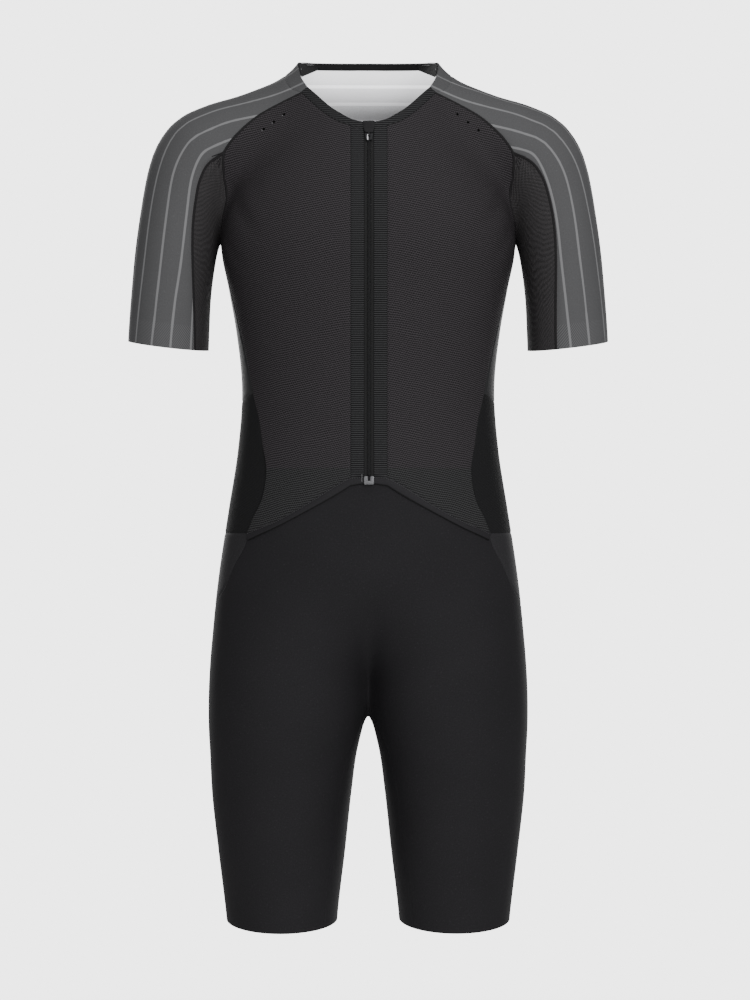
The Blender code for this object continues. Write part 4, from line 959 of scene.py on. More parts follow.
def parts_of(tree, vector):
    return add_node(tree, "ShaderNodeSeparateXYZ", {0: vector}).outputs


def noise(tree, vector, scale, detail):
    inputs = {"Vector": vector, "Scale": scale, "Detail": detail}
    return add_node(tree, "ShaderNodeTexNoise", inputs).outputs[0]


def clamped(tree, value):
    return add_node(tree, "ShaderNodeClamp", {0: value}).outputs[0]


def cloth_map(tree, name="cloth"):
    return add_node(tree, "ShaderNodeUVMap", uv_map=name).outputs[0]


def body_place(tree):
    """The place in the suit's own frame, by axis."""
    return parts_of(tree, add_node(tree, "ShaderNodeTexCoord").outputs["Object"])


def make_stripe_group():
    """Pinstripe mask from the stripe map: 1 on a stripe, 0 between."""
    tree, start, end = socketed("pinstripe", {"Map": None, "Half Width": STRIPE_HALF}, {"Mask": 0.0})
    parts = parts_of(tree, start.outputs["Map"])
    place = maths(tree, "FRACT", maths(tree, "ADD", parts["X"], 0.5))
    off = maths(tree, "ABSOLUTE", maths(tree, "SUBTRACT", place, 0.5))
    distance = maths(tree, "MULTIPLY", off, parts["Y"])
    over = maths(tree, "SUBTRACT", start.outputs["Half Width"], distance)
    mask = maths(tree, "MULTIPLY_ADD", over, STRIPE_EDGE, 0.5)
    tree.links.new(clamped(tree, mask), end.inputs["Mask"])
    return tree


def make_knit_group():
    """Fine knit: ribs across the cloth, broken into loops, with a slow unevenness."""
    tree, start, end = socketed(
        "fine_knit",
        {"Cloth": None, "Pitch": 2.0 * MM, "Slant": 0.0, "Loop": 1.1 * MM, "Wobble": 0.5 * MM},
        {"Height": 0.0, "Shade": 0.0},
    )
    inputs = start.outputs
    parts = parts_of(tree, inputs["Cloth"])
    slow = noise(tree, inputs["Cloth"], 30.0, 1.0)
    drift = maths(tree, "MULTIPLY", maths(tree, "SUBTRACT", slow, 0.5), inputs["Wobble"])
    slanted = maths(tree, "MULTIPLY_ADD", parts["X"], inputs["Slant"], parts["Y"])
    line = maths(tree, "DIVIDE", maths(tree, "MULTIPLY_ADD", drift, 4.0, slanted), inputs["Pitch"])
    rib = maths(tree, "COSINE", maths(tree, "MULTIPLY", line, 2 * math.pi))
    step = maths(tree, "MULTIPLY", maths(tree, "FLOOR", line), 0.5)
    wale = maths(tree, "ADD", maths(tree, "DIVIDE", parts["X"], inputs["Loop"]), step)
    loop = maths(tree, "COSINE", maths(tree, "MULTIPLY", wale, 2 * math.pi))
    ribbed = maths(tree, "MULTIPLY_ADD", rib, 0.5, 0.5)
    looped = maths(tree, "MULTIPLY_ADD", loop, 0.4, 0.6)
    height = maths(tree, "MULTIPLY", ribbed, looped)
    grain = noise(tree, inputs["Cloth"], 900.0, 2.0)
    shade = maths(tree, "MULTIPLY_ADD", maths(tree, "SUBTRACT", grain, 0.5), 0.9, height)
    tree.links.new(height, end.inputs["Height"])
    tree.links.new(clamped(tree, shade), end.inputs["Shade"])
    return tree


def make_heather_group():
    """Close smooth knit seen as grain, with sparse paler fibres and faint cloudy wear."""
    tree, start, end = socketed(
        "heather", {"Cloth": None, "Flecks": 0.5, "Cloud": 0.3}, {"Height": 0.0, "Shade": 0.0}
    )
    inputs = start.outputs
    grain = noise(tree, inputs["Cloth"], 700.0, 3.0)
    bright = span(tree, noise(tree, inputs["Cloth"], 420.0, 1.0), 0.64, 0.74)
    cloud = noise(tree, inputs["Cloth"], 14.0, 3.0)
    shade = maths(tree, "MULTIPLY_ADD", bright, inputs["Flecks"], grain)
    slow = maths(tree, "MULTIPLY", maths(tree, "SUBTRACT", cloud, 0.5), inputs["Cloud"])
    tree.links.new(grain, end.inputs["Height"])
    tree.links.new(clamped(tree, maths(tree, "ADD", shade, slow)), end.inputs["Shade"])
    return tree


PINSTRIPE = make_stripe_group()
FINE_KNIT = make_knit_group()
HEATHER = make_heather_group()


def new_material(name, roughness=0.8, specular=0.2, metallic=0.0):
    """A Principled material with its tree and shader."""
    made = bpy.data.materials.new(name)
    made.use_nodes = True
    shader = made.node_tree.nodes["Principled BSDF"]
    shader.inputs["Roughness"].default_value = roughness
    shader.inputs["Specular IOR Level"].default_value = specular
    shader.inputs["Metallic"].default_value = metallic
    return made, made.node_tree, shader


def mixed(tree, factor, dark, light):
    """A colour between two others."""
    dark, light = (tone if isinstance(tone, bpy.types.NodeSocket) else (*tone, 1.0) for tone in (dark, light))
    return add_node(tree, "ShaderNodeMix", {0: factor, 6: dark, 7: light}, data_type="RGBA").outputs[2]


def place_group(tree, group, inputs):
    return add_node(tree, "ShaderNodeGroup", inputs, node_tree=group).outputs


def bump(tree, shader, height, distance, strength=0.6):
    made = add_node(tree, "ShaderNodeBump", {"Height": height, "Distance": distance, "Strength": strength})
    tree.links.new(made.outputs[0], shader.inputs["Normal"])


def cloth_material(name, weave, dark, light, roughness, depth, **look):
    """Cloth in two tones, with its weave or knit in relief."""
    made, tree, shader = new_material(name, roughness)
    woven = place_group(tree, weave, {"Cloth": cloth_map(tree), **look})
    tree.links.new(mixed(tree, woven["Shade"], dark, light), shader.inputs["Base Color"])
    bump(tree, shader, woven["Height"], depth)
    return made


def knit_material(name, dark, light, **look):
    """Ribbed knit: its ribs and loops in relief, and darker between them."""
    return cloth_material(name, FINE_KNIT, dark, light, 0.8, 0.25 * MM, **look)


def heather_material(name, dark, light, roughness=0.82, **look):
    """Close-knit cloth with heathered fibres."""
    return cloth_material(name, HEATHER, dark, light, roughness, 0.12 * MM, **look)


def striped_material(name, dark, light, stripe, hatch=0.0):
    """Grey cloth printed with pinstripes, with a faint diagonal grip print above the cuff."""
    made, tree, shader = new_material(name, 0.78)
    cloth = cloth_map(tree)
    weave = place_group(tree, HEATHER, {"Cloth": cloth, "Flecks": 0.35, "Cloud": 0.35})
    ground = mixed(tree, weave["Shade"], dark, light)
    if hatch:
        parts = parts_of(tree, cloth)
        slant = maths(tree, "ADD", parts["X"], parts["Y"])
        wave = maths(tree, "SINE", maths(tree, "MULTIPLY", slant, 2 * math.pi / HATCH_PITCH))
        hatched = mixed(
            tree, maths(tree, "MULTIPLY_ADD", wave, 0.5, 0.5),
            tuple(0.92 * channel for channel in dark), tuple(1.15 * channel for channel in light),
        )
        place = body_place(tree)
        aside = maths(tree, "MULTIPLY", maths(tree, "ABSOLUTE", place["X"]), CUFF_SLOPE_ACROSS)
        slope = maths(tree, "MULTIPLY_ADD", place["Y"], CUFF_SLOPE_BACK, aside)
        edge = CUFF_HEIGHT - CUFF_SLOPE_ACROSS * CUFF_CENTRE + hatch
        low = span(tree, maths(tree, "SUBTRACT", place["Z"], slope), edge + 2 * MM, edge)
        ground = mixed(tree, low, ground, hatched)
    mask = place_group(tree, PINSTRIPE, {"Map": cloth_map(tree, "stripes")})["Mask"]
    soft = maths(tree, "MULTIPLY", mask, 0.9)
    tree.links.new(mixed(tree, soft, ground, stripe), shader.inputs["Base Color"])
    bump(tree, shader, weave["Height"], 0.10 * MM)
    return made


sleeve_cloth = striped_material(
    "sleeve_cloth", (0.060, 0.060, 0.062), (0.095, 0.095, 0.098), (0.20, 0.20, 0.205), hatch=26 * MM
)
sleeve_lining = heather_material("sleeve_inside", (0.30, 0.30, 0.31), (0.42, 0.42, 0.43))
hem_cloth = striped_material(
    "neck_hem_cloth", (0.055, 0.055, 0.057), (0.088, 0.088, 0.091), (0.17, 0.17, 0.175)
)
MESH_LOOK = {"Pitch": 2.33 * MM, "Slant": -0.2, "Loop": 2.6 * MM, "Wobble": 1.1 * MM}
body_mesh = knit_material("body_mesh", (0.006, 0.0052, 0.006), (0.060, 0.054, 0.059), **MESH_LOOK)
# Painted light: the inner sleeves' mesh is the body mesh in lighter tones, for the brighter light they catch.
sleeve_mesh_painted_lighter = knit_material("sleeve_mesh_painted_lighter", (0.010, 0.009, 0.0095), (0.078, 0.074, 0.077), **MESH_LOOK)


def build_seams():
    """The seams of the +X half that sleeves and body share, by name."""
    s = {"neck_shoulder": seam(NECK_SHOULDER, 10), "neck_back": seam(NECK_BACK, 9)}
    s["neck_back"][0, 0] = 0.0
    s["raglan_front"], s["raglan_back"] = seam(RAGLAN_FRONT), seam(RAGLAN_BACK)
    s["armhole_front"] = into_crease(ARMHOLE_FRONT)
    s["armhole_back"] = into_crease(ARMHOLE_BACK)
    s["underarm"] = into_crease(UNDERARM)
    s["underarm"][0] = s["armhole_front"][-1]
    s["underarm"][-1] = s["armhole_back"][-1]
    return s


def sleeve_edges(s, turn):
    """Front and back seams between the outer and the inner sleeve, turned about the arm."""
    front = settle(np.array(SLEEVE_FRONT))
    middle = 2 * np.interp(front[:, 2][::-1], ARM_Z[::-1], ARM_Y[::-1])[::-1]
    back = np.stack([front[:, 0], middle - front[:, 1], front[:, 2]], axis=-1)
    weights = np.linspace(0.0, 1.0, len(front)) ** 0.7
    edges = []
    for curve, first in ((front, s["armhole_front"][0]), (back, s["armhole_back"][0])):
        edge = settle(arm_turned(curve, turn, weights))
        edge[0] = first
        edge[-1] = on_cuff(edge[-1:])[0]
        edges.append(edge)
    return edges


def cuff_arc(first, last, pieces, outer):
    """The cuff between two points, round the outer or the inner side of the arm."""
    ends = np.stack([first, last])
    along, out, back = arm_place(ends[:, 0], ends[:, 1], ends[:, 2])
    angles = np.arctan2(back, out)
    if not outer:
        angles = np.where(angles > 0, angles - 2 * math.pi, angles)
    angle = np.linspace(angles[0], angles[1], pieces + 1)
    curve = on_cuff(arm_point(np.linspace(along[0], along[1], pieces + 1), angle, ARM_RADIUS[-1]))
    curve[0] = first
    curve[-1] = last
    return curve


def sleeve_grid(front, back, top, bottom):
    """The outer sleeve's coarse grid, spread round the arm between its two edges."""
    share = np.linspace(0.0, 1.0, len(top))
    places = []
    for edge in (front, back):
        along, out, depth = arm_place(edge[:, 0], edge[:, 1], edge[:, 2])
        places.append((along, np.arctan2(depth, out)))
    along = places[0][0][:, None] * (1 - share) + places[1][0][:, None] * share
    angle = places[0][1][:, None] * (1 - share) + places[1][1][:, None] * share
    grid = settle(arm_point(along, angle, np.interp(along, ARM_ALONG, ARM_RADIUS)))
    grid[:, 0], grid[:, -1], grid[0], grid[-1] = front, back, top, bottom
    return relax(grid, 20)


def make_sleeves(s):
    for side, turn, table in (("_r", SLEEVE_TWIST, STRIPES_R), ("_l", -SLEEVE_TWIST, STRIPES_L)):
        edges = sleeve_edges(s, turn)
        s["sleeve_front" + side], s["sleeve_back" + side] = edges
        top, cuff = s["neck_shoulder"], cuff_arc(edges[0][-1], edges[1][-1], 10, True)
        front, back = join(s["raglan_front"], edges[0]), join(s["raglan_back"], edges[1])
        grid = sleeve_grid(front, back, top, cuff)
        stripes = sleeve_stripes(table)
        hem_line = grid[1]
        hem = [Side(front, places=(0, 1)), Side(back, places=(0, 1)), Side(top), Side(hem_line)]
        panel("neck_hem", hem, hem_cloth, "striped_cloth", grid=grid[:2], only=side, across=2.5 * MM,
              down=1.2 * MM, dips=("start", "end", "bottom"), stripes=stripes, inner_made=sleeve_lining)
        rows = np.arange(1.0, len(front))
        body = [
            Side(s["raglan_front"], edges[0], places=rows),
            Side(s["raglan_back"], edges[1], places=rows),
            Side(hem_line), Side(cuff),
        ]
        panel("sleeve_outer", body, sleeve_cloth, "striped_cloth", grid=grid[1:], only=side,
              dips=("start", "end", "top"), stripes=stripes, inner_made=sleeve_lining)
        inner_top = [s["armhole_front"], s["underarm"], s["armhole_back"][::-1]]
        inner_cuff = cuff_arc(edges[0][-1], edges[1][-1], pieces_in(*inner_top), False)
        gusset = [Side(edges[0]), Side(edges[1]), Side(*inner_top), Side(inner_cuff)]
        panel("sleeve_inner", gusset, sleeve_mesh_painted_lighter, "body_mesh", only=side, across=2.0 * MM, down=2.0 * MM,
              dips=("start", "end", "top"))


seams = build_seams()
make_sleeves(seams)

# ------------------------------------------------------------------ front body, neck bands, zip bands
# Fine ribbed mesh panels from the raglan seams down to the pointed hem. A doubled ribbed band
# finishes the neckline, and a cross-ribbed band runs down each side of the zip. They hang free
# of the shorts below the waist.

RIB_PITCH = 2.33 * MM
BAND_WIDTH = 10.0 * MM
NECK_FRONT = (
    (0.0050, -0.0873, -0.0603),
    (0.0198, -0.0845, -0.0556),
    (0.0288, -0.0800, -0.0503),
    (0.0388, -0.0741, -0.0433),
    (0.0470, -0.0690, -0.0360),
    (0.0560, -0.0635, -0.0270),
    (0.0671, -0.0541, -0.0162),
)
HEM_POINT = {
    "columns": ("across", "top", "bottom"),
    "rows": (
        (0.0000, -0.4453, -0.4535),
        (0.0050, -0.4453, -0.4535),
        (0.0198, -0.4466, -0.4556),
        (0.0320, -0.4525, -0.4635),
        (0.0650, -0.4735, -0.4820),
        (0.1010, -0.4938, -0.5010),
        (0.1302, -0.5070, -0.5150),
    ),
}
SIDE_SEAMS = {
    "columns": ("height", "front", "back"),
    "rows": (
        (-0.206, 83.0, 97.0),
        (-0.230, 81.0, 99.0),
        (-0.254, 79.0, 101.0),
        (-0.278, 77.0, 103.0),
        (-0.302, 74.5, 105.5),
        (-0.327, 72.0, 108.0),
        (-0.353, 69.0, 111.0),
        (-0.380, 64.2, 115.0),
        (-0.408, 60.5, 118.5),
        (-0.436, 56.6, 121.0),
        (-0.454, 56.3, 121.5),
        (-0.472, 57.4, 120.5),
        (-0.490, 60.8, 118.0),
        (-0.507, 63.2, 116.0),
    ),
}
FRONT_COLUMNS = 9
CHAIN_HALF = 2.0 * MM
TAPE_IN = 2.3 * MM
FACING_IN = 5.0 * MM
FACING_OUT = 19.8 * MM
CHAIN_BOTTOM = -0.4436
TAPE_WALL = 1.0 * MM


def torso_rows(table, name):
    return on_torso(column(table, "height"), column(table, name))


def zip_line(across, heights):
    return on_front(np.full(len(heights), across), heights)


def beside(curve, distance):
    """The curve moved sideways on the figure, away from the neck."""
    aside = unit(np.cross(np.gradient(curve, axis=0), outward(curve)))
    down = np.sign((aside * (curve - np.array([0.0, 0.0, 0.10]))).sum(axis=-1).mean())
    return settle(curve + down * distance * aside)


def ribs_level(at_u, at_v, fine):
    """Level ribs from one long edge of a band to the other, dying away beside both."""
    wave = 0.5 - 0.5 * np.cos(2 * math.pi * fine[..., 2] / RIB_PITCH)
    upright = at_u[-1] < at_v[-1]
    short = at_u if upright else at_v
    edge = ramp(short / (0.8 * MM)) * ramp((short[-1] - short) / (0.6 * MM))
    return RIB_HEIGHT * wave * (edge[None, :] if upright else edge[:, None])


def rib_material():
    """Elastic ribbing, with painted light and shade: following the ribs' relief, paler along each rib's crest,
    almost black in the grooves.
    """
    made, tree, shader = new_material("ribbed_band", 0.85, specular=0.1)
    weave = place_group(tree, HEATHER, {"Cloth": cloth_map(tree), "Flecks": 0.3, "Cloud": 0.2})
    # Painted shade and highlight: the tone follows the height of the ribs, darkest in the grooves.
    crest = parts_of(tree, cloth_map(tree, "stripes"))["X"]
    tone = maths(tree, "MULTIPLY", crest, maths(tree, "MULTIPLY_ADD", weave["Shade"], 0.6, 0.55))
    colour = mixed(tree, clamped(tree, tone), (0.0015, 0.0015, 0.0017), (0.051, 0.051, 0.053))
    tree.links.new(colour, shader.inputs["Base Color"])
    bump(tree, shader, weave["Height"], 0.12 * MM)
    return made


def front_mesh_material():
    """The body mesh, darker and greyer where the shorts' waist lies behind it."""
    made, tree, shader = new_material("front_mesh")
    cloth = cloth_map(tree)
    weave = place_group(tree, FINE_KNIT, {"Cloth": cloth, **MESH_LOOK})
    plain = mixed(tree, weave["Shade"], (0.006, 0.0052, 0.006), (0.067, 0.060, 0.066))
    doubled = mixed(tree, weave["Shade"], (0.004, 0.004, 0.0042), (0.060, 0.060, 0.062))
    behind = span(tree, parts_of(tree, cloth)["Y"], -WAIST_FRONT - 0.5 * MM, -WAIST_FRONT + 0.5 * MM)
    tree.links.new(mixed(tree, behind, plain, doubled), shader.inputs["Base Color"])
    bump(tree, shader, weave["Height"], 0.25 * MM)
    return made


rib_cloth = rib_material()
front_cloth = front_mesh_material()
tape_cloth = knit_material(
    "zip_tape", (0.008, 0.008, 0.008), (0.026, 0.026, 0.027),
    Pitch=0.9 * MM, Slant=0.0, Loop=0.7 * MM, Wobble=0.0,
)


def make_front(s):
    s["neck_front"] = seam(NECK_FRONT)
    for name in ("front", "back"):
        s["side_" + name] = np.concatenate([s["armhole_" + name][-1:], torso_rows(SIDE_SEAMS, name)])
    outer_edge = beside(s["neck_front"], BAND_WIDTH)
    outer_edge[-1] = s["raglan_front"][1]
    outer_edge[0] = on_front(FACING_IN, outer_edge[0, 2])
    outer_edge[1] = on_front(FACING_OUT, outer_edge[1, 2])
    ends = [np.stack([s["neck_front"][i], outer_edge[i]]) for i in (0, -1)]
    band = [Side(ends[0]), Side(ends[1]), Side(s["neck_front"]), Side(outer_edge[:2], outer_edge[1:])]
    panel("neck_band", band, rib_cloth, "ribbed_band", grid=np.stack([s["neck_front"], outer_edge]),
          across=0.9 * MM, down=0.45 * MM, dips=("end", "bottom"), relief=ribs_level)

    edges = (s["raglan_front"], s["armhole_front"], s["side_front"])
    right = Side(*edges, places=np.arange(1.0, 1.0 + pieces_in(*edges)))
    rows = right.rows
    across = column(HEM_POINT, "across")
    point_top = on_front(across, column(HEM_POINT, "top"))
    point_bottom = on_front(across, column(HEM_POINT, "bottom"))
    corner = s["side_front"][-1]
    point_top[-1] = corner
    heights = np.linspace(outer_edge[1, 2], point_top[2, 2], rows)
    left = zip_line(FACING_OUT, heights)
    left[0], left[-1] = outer_edge[1], point_top[2]
    hem_top = settle(along_curve(point_top[2:], FRONT_COLUMNS))
    hem_top[0], hem_top[-1] = point_top[2], corner
    hem_bottom = settle(along_curve(point_bottom[2:], FRONT_COLUMNS))
    mesh = [Side(left), right, Side(outer_edge[1:], rows=FRONT_COLUMNS), Side(hem_top)]
    panel("front_mesh", mesh, front_cloth, "body_mesh", raised=True, level=True, dips=ALL_ROUND)

    facing_heights = np.linspace(outer_edge[0, 2], point_top[1, 2], rows)
    facing = np.stack([zip_line(FACING_IN, facing_heights), left], axis=1)
    ends = [Side(facing[0]), Side(facing[-1])]
    panel("zip_facing", [Side(facing[:, 0]), Side(left), *ends], rib_cloth, "ribbed_band", grid=facing,
          across=2.5 * MM, down=RIB_PITCH / 6, raised=True, dips=("end",), relief=ribs_level)
    tape_heights = np.linspace(s["neck_front"][0, 2] - 2.0 * MM, point_top[0, 2], rows)
    tape = np.stack([zip_line(TAPE_IN, tape_heights), zip_line(FACING_IN, tape_heights)], axis=1)
    panel("zip_tape", [Side(tape[:, 0]), Side(tape[:, 1]), Side(tape[0]), Side(tape[-1])], tape_cloth,
          "zip_tape", grid=tape, across=1.3 * MM, raised=True, high=TAPE_WALL)
    s["point_top"], s["point_bottom"] = point_top, point_bottom
    s["hem_top"], s["hem_bottom"] = hem_top, hem_bottom


make_front(seams)

# ------------------------------------------------------------------ zip chain, slider, pull and box
# A closed spiral-coil chain in black nylon, its loops meeting on the centre line. The dark metal
# slider is parked at the top under a folded cloth garage, its small pull hangs from the bail,
# and a bright metal box crimps the lower end.

TOOTH_PITCH = 1.3 * MM
COIL_OUT = 0.95 * MM
TOOTH_HALF = 0.42 * MM
CORE_HALF = 2.25 * MM
SLIDER_DOWN = 18.0 * MM
SLIDER_LENGTH = 10.0 * MM
POST_LENGTH = 1.8 * MM
SEAM_GAP = 0.3 * MM
GARAGE_WALL = 0.8 * MM
FLAT_TURN = math.radians(2)
EDGE_TURN = math.radians(25)
SHARP_METAL = math.radians(35)
GARAGE = {
    "columns": ("down", "off", "half"),
    "rows": (
        (0.0050, -0.0004, 0.0055),
        (0.0000, -0.0005, 0.0060),
        (-0.0012, 0.0001, 0.0062),
        (-0.0012, 0.0012, 0.0063),
        (0.0000, 0.0018, 0.0064),
        (0.0060, 0.0017, 0.0060),
        (0.0110, 0.0034, 0.0052),
        (0.0144, 0.0035, 0.0044),
    ),
}


def front_path():
    """Centre-front points below the neck edge: heights by distance down the cloth."""
    heights = np.linspace(NECK_FRONT[0][2], NECK_FRONT[0][2] - 0.040, 41)
    return distances(on_front(0.0, heights)), heights


def bars(name, starts, ends, up, radius, made, slot, node=None, flat=1.0, around=6, tip=0.35):
    """Many short rounded bars in one piece, each with its own ends and its own up."""
    run = unit(ends - starts)
    side = unit(np.cross(run, up))
    over = np.cross(side, run)
    turn = np.linspace(0.0, 2 * math.pi, around, endpoint=False)
    circle = side[:, None] * np.cos(turn)[None, :, None] + over[:, None] * (flat * np.sin(turn))[None, :, None]
    narrow = 1.0 - tip * 1.3
    profile = ((starts, 0.0, narrow), (starts, tip, 1.0), (ends, -tip, 1.0), (ends, 0.0, narrow))
    rings = [(end + run * back * radius)[:, None] + radius * wide * circle for end, back, wide in profile]
    points = np.stack(rings, axis=1).reshape(-1, 3)
    ring = np.arange(around)
    after = (ring + 1) % around
    quads = [np.stack([k + ring, k + after, k + around + after, k + around + ring], axis=-1)
             for k in around * np.arange(3)]
    first = 4 * around * np.arange(len(starts))
    faces = (np.concatenate(quads)[None] + first[:, None, None]).reshape(-1, 4).tolist()
    for cap in (ring[::-1], 3 * around + ring):
        faces += (cap[None] + first[:, None]).tolist()
    mesh = bpy.data.meshes.new(name)
    mesh.from_pydata(points.tolist(), [], faces)
    mesh.materials.append(made)
    mesh.shade_smooth()
    declare_piece(linked(name, mesh), node)


def plain_material(name, colour, roughness, metallic=0.0, specular=0.4, scale=400.0, change=0.35):
    """Plastic or metal, rubbed unevenly: its roughness and tone vary over the surface."""
    made, tree, shader = new_material(name, roughness, specular, metallic)
    wear = noise(tree, add_node(tree, "ShaderNodeTexCoord").outputs["Object"], scale, 3.0)
    dark = tuple(channel * (1 - change) for channel in colour)
    tree.links.new(mixed(tree, wear, dark, colour), shader.inputs["Base Color"])
    range_of = {"Value": wear, "To Min": roughness - 0.08, "To Max": roughness + 0.1}
    rough = add_node(tree, "ShaderNodeMapRange", range_of).outputs[0]
    tree.links.new(rough, shader.inputs["Roughness"])
    bump(tree, shader, wear, 0.03 * MM, 0.4)
    return made


coil_plastic = plain_material("zip_coil", (0.027, 0.027, 0.028), 0.7, specular=0.1)
dark_metal = plain_material("slider_metal", (0.018, 0.018, 0.020), 0.5, metallic=0.4)
bright_metal = plain_material("bright_metal", (0.20, 0.20, 0.208), 0.46, metallic=1.0, scale=700.0, change=0.7)


def paint_over(made, share_of, colour):
    """Another colour over a material's own, where share_of is above 0."""
    tree = made.node_tree
    base = tree.nodes["Principled BSDF"].inputs["Base Color"]
    tree.links.new(mixed(tree, share_of(tree), base.links[0].from_socket, colour), base)
    return made


# Dark plating, with a painted highlight: a pale band along one edge of the tab stands in for a glint.
pull_metal = paint_over(
    plain_material("pull_metal", (0.013, 0.013, 0.015), 0.6, metallic=0.1, specular=0.25),
    lambda tree: span(tree, body_place(tree)["X"], -0.5 * MM, -0.9 * MM),
    (0.62, 0.62, 0.64),
)
smooth_cloth = heather_material(
    "smooth_knit", (0.006, 0.0056, 0.0065), (0.014, 0.0135, 0.015), roughness=0.6, Flecks=0.1, Cloud=0.3
)


def bevelled(node, name, width, made, body):
    """A piece made from a copy of a solid's mesh, its edges rounded, that stands in for it."""
    solid = bpy.data.objects[node]
    mesh = solid.data.copy()
    mesh.transform(solid.matrix_world)
    form = bmesh.new()
    form.from_mesh(mesh)
    bmesh.ops.remove_doubles(form, verts=form.verts, dist=0.005 * MM)
    bmesh.ops.dissolve_limit(form, angle_limit=FLAT_TURN, verts=form.verts, edges=form.edges)
    edges = [e for e in form.edges if len(e.link_faces) == 2 and e.calc_face_angle(0.0) > EDGE_TURN]
    bmesh.ops.bevel(
        form, geom=edges, offset=width, segments=3, profile=0.5, affect="EDGES", clamp_overlap=True
    )
    form.to_mesh(mesh)
    form.free()
    mesh.materials.clear()
    mesh.materials.append(made)
    mesh.shade_smooth()
    mesh.set_sharp_from_angle(angle=SHARP_METAL)
    declare_piece(linked(name, mesh), node, body)


def make_zip():
    run, heights = front_path()
    chain_top = np.interp(SLIDER_DOWN - SLIDER_LENGTH / 2 + POST_LENGTH + SEAM_GAP, run, heights)
    guide = zip_line(0.0, np.linspace(chain_top, CHAIN_BOTTOM, 60))
    far = distances(guide)
    count = int(far[-1] / (TOOTH_PITCH / 2))
    places = (np.arange(count) + 0.5) * TOOTH_PITCH / 2
    middle = spline(far, guide, places)
    middle[:, 0] = 0.0
    up = outward(middle)
    side = np.where(np.arange(count) % 2 == 0, 1.0, -1.0)[:, None] * ACROSS
    centre = middle + up * (lift(middle) + COIL_OUT)[:, None]
    inner = centre - side * 0.45 * MM
    outer = centre + side * (CHAIN_HALF - 0.25 * MM)
    bars("zip_coils", inner, outer, up, TOOTH_HALF, coil_plastic, "zip_teeth", "zip_chain", flat=1.5, around=8)
    make_core(guide, far)
    bevelled("zip_slider", "slider_body", 0.22 * MM, dark_metal, "suit")
    bevelled("zip_pull", "pull_tab", 0.16 * MM, pull_metal, "pull")
    bevelled("zip_box", "end_box", 0.45 * MM, bright_metal, "suit")
    make_garage(run, heights)


def make_core(guide, far):
    """The dark core that the coil is wound on, a strip behind its loops."""
    base = guide[:, None] + np.linspace(-CORE_HALF, CORE_HALF, 5)[None, :, None] * ACROSS
    up = outward(guide)[:, None]
    skins = [(base + up * (lift(guide) + out * MM)[:, None, None]).reshape(-1, 3) for out in (0.5, 0.1)]
    uv = np.stack([base[..., 0], np.repeat(far[:, None], 5, axis=1)], axis=-1).reshape(-1, 2)
    core = sheet_object("zip_core", *skins, grid_faces(len(guide), 5), tape_cloth, cloth_uv=uv)
    declare_piece(core)


def make_garage(run, heights):
    """The tongue of smooth cloth folded over the neck edge, down over the top of the slider."""
    down, off, half = (column(GARAGE, name) for name in GARAGE["columns"])
    knots = distances(np.stack([down, off], axis=-1))
    fine = np.linspace(0.0, knots[-1], 44)
    down, off, half = (spline(knots, values, fine) for values in (down, off, half))
    z = np.interp(np.maximum(down, 0.0), run, heights)
    centre = on_front(0.0, z)
    normal = outward(centre)
    up = np.stack([0 * z, normal[:, 2], -normal[:, 1]], axis=-1)
    line = centre + normal * off[:, None] - up * np.minimum(down, 0.0)[:, None]
    aside = unit(np.cross(np.gradient(line, axis=0), ACROSS))
    corner = 1.6 * MM
    left = np.clip((fine[-1] - fine) / corner, 0.0, 1.0)
    half = half - corner * (1 - np.sqrt(1 - (1 - left) ** 2)) * 0.8
    share = np.linspace(-1.0, 1.0, 13)
    across = half[:, None] * share
    inner = line[:, None] + across[..., None] * ACROSS
    soft = 1.0 - 0.55 * np.abs(share) ** 6
    outer = inner + aside[:, None] * (GARAGE_WALL * soft)[None, :, None]
    rows, count = inner.shape[:2]
    uv = np.stack([across, np.repeat(fine[:, None], count, axis=1)], axis=-1).reshape(-1, 2)
    skins = outer.reshape(-1, 3), inner.reshape(-1, 3)
    garage = sheet_object("garage_tongue", *skins, grid_faces(rows, count), smooth_cloth, cloth_uv=uv)
    declare_piece(garage, "zip_garage")


make_zip()

# ------------------------------------------------------------------ pointed hem binding
# A smooth band folded over the front panels' lower edge, which falls from a short level stretch
# under the zip to a point at each side seam. A row of paler topstitching holds its upper edge.

STITCH_STEP = 2.6 * MM
STITCH_LENGTH = 0.62 * STITCH_STEP
STITCH_OUT = OUTER_FACE + 0.12 * MM


def folded_edge(_, at_v, fine):
    """A folded band: full along its length, rolled under at its free lower edge."""
    share = at_v / at_v[-1]
    full = 0.25 * MM * np.sin(math.pi * np.clip(share, 0.0, 1.0)) - 0.5 * MM * ramp((share - 0.80) / 0.20)
    return np.repeat(full[:, None], fine.shape[1], axis=1)


# Painted shade: almost black where the band rolls under at its lower edge, standing in for the shade under the
# hem.
binding_cloth = paint_over(
    heather_material(
        "hem_binding", (0.0075, 0.007, 0.0082), (0.019, 0.018, 0.0205), 0.66, Flecks=0.1, Cloud=0.25
    ),
    lambda tree: span(tree, parts_of(tree, cloth_map(tree, "stripes"))["X"], 0.1, -0.5),
    (0.0015, 0.0015, 0.0016),
)
thread = plain_material("stitch_thread", (0.085, 0.083, 0.088), 0.75, specular=0.2, scale=900.0)


def hem_stitches(curve):
    """A row of small stitches that lie on the cloth along a curve on the figure."""
    far = distances(curve)
    first = (np.arange(int(far[-1] / STITCH_STEP)) + 0.2) * STITCH_STEP
    starts, ends = spline(far, curve, first), spline(far, curve, first + STITCH_LENGTH)
    up = outward((starts + ends) / 2)
    lifts = (STITCH_OUT + lift(starts) - crease_depth(starts))[:, None] * up
    bars("hem_stitches", starts + lifts, ends + lifts, up, 0.24 * MM, thread, "smooth_binding", flat=0.8)


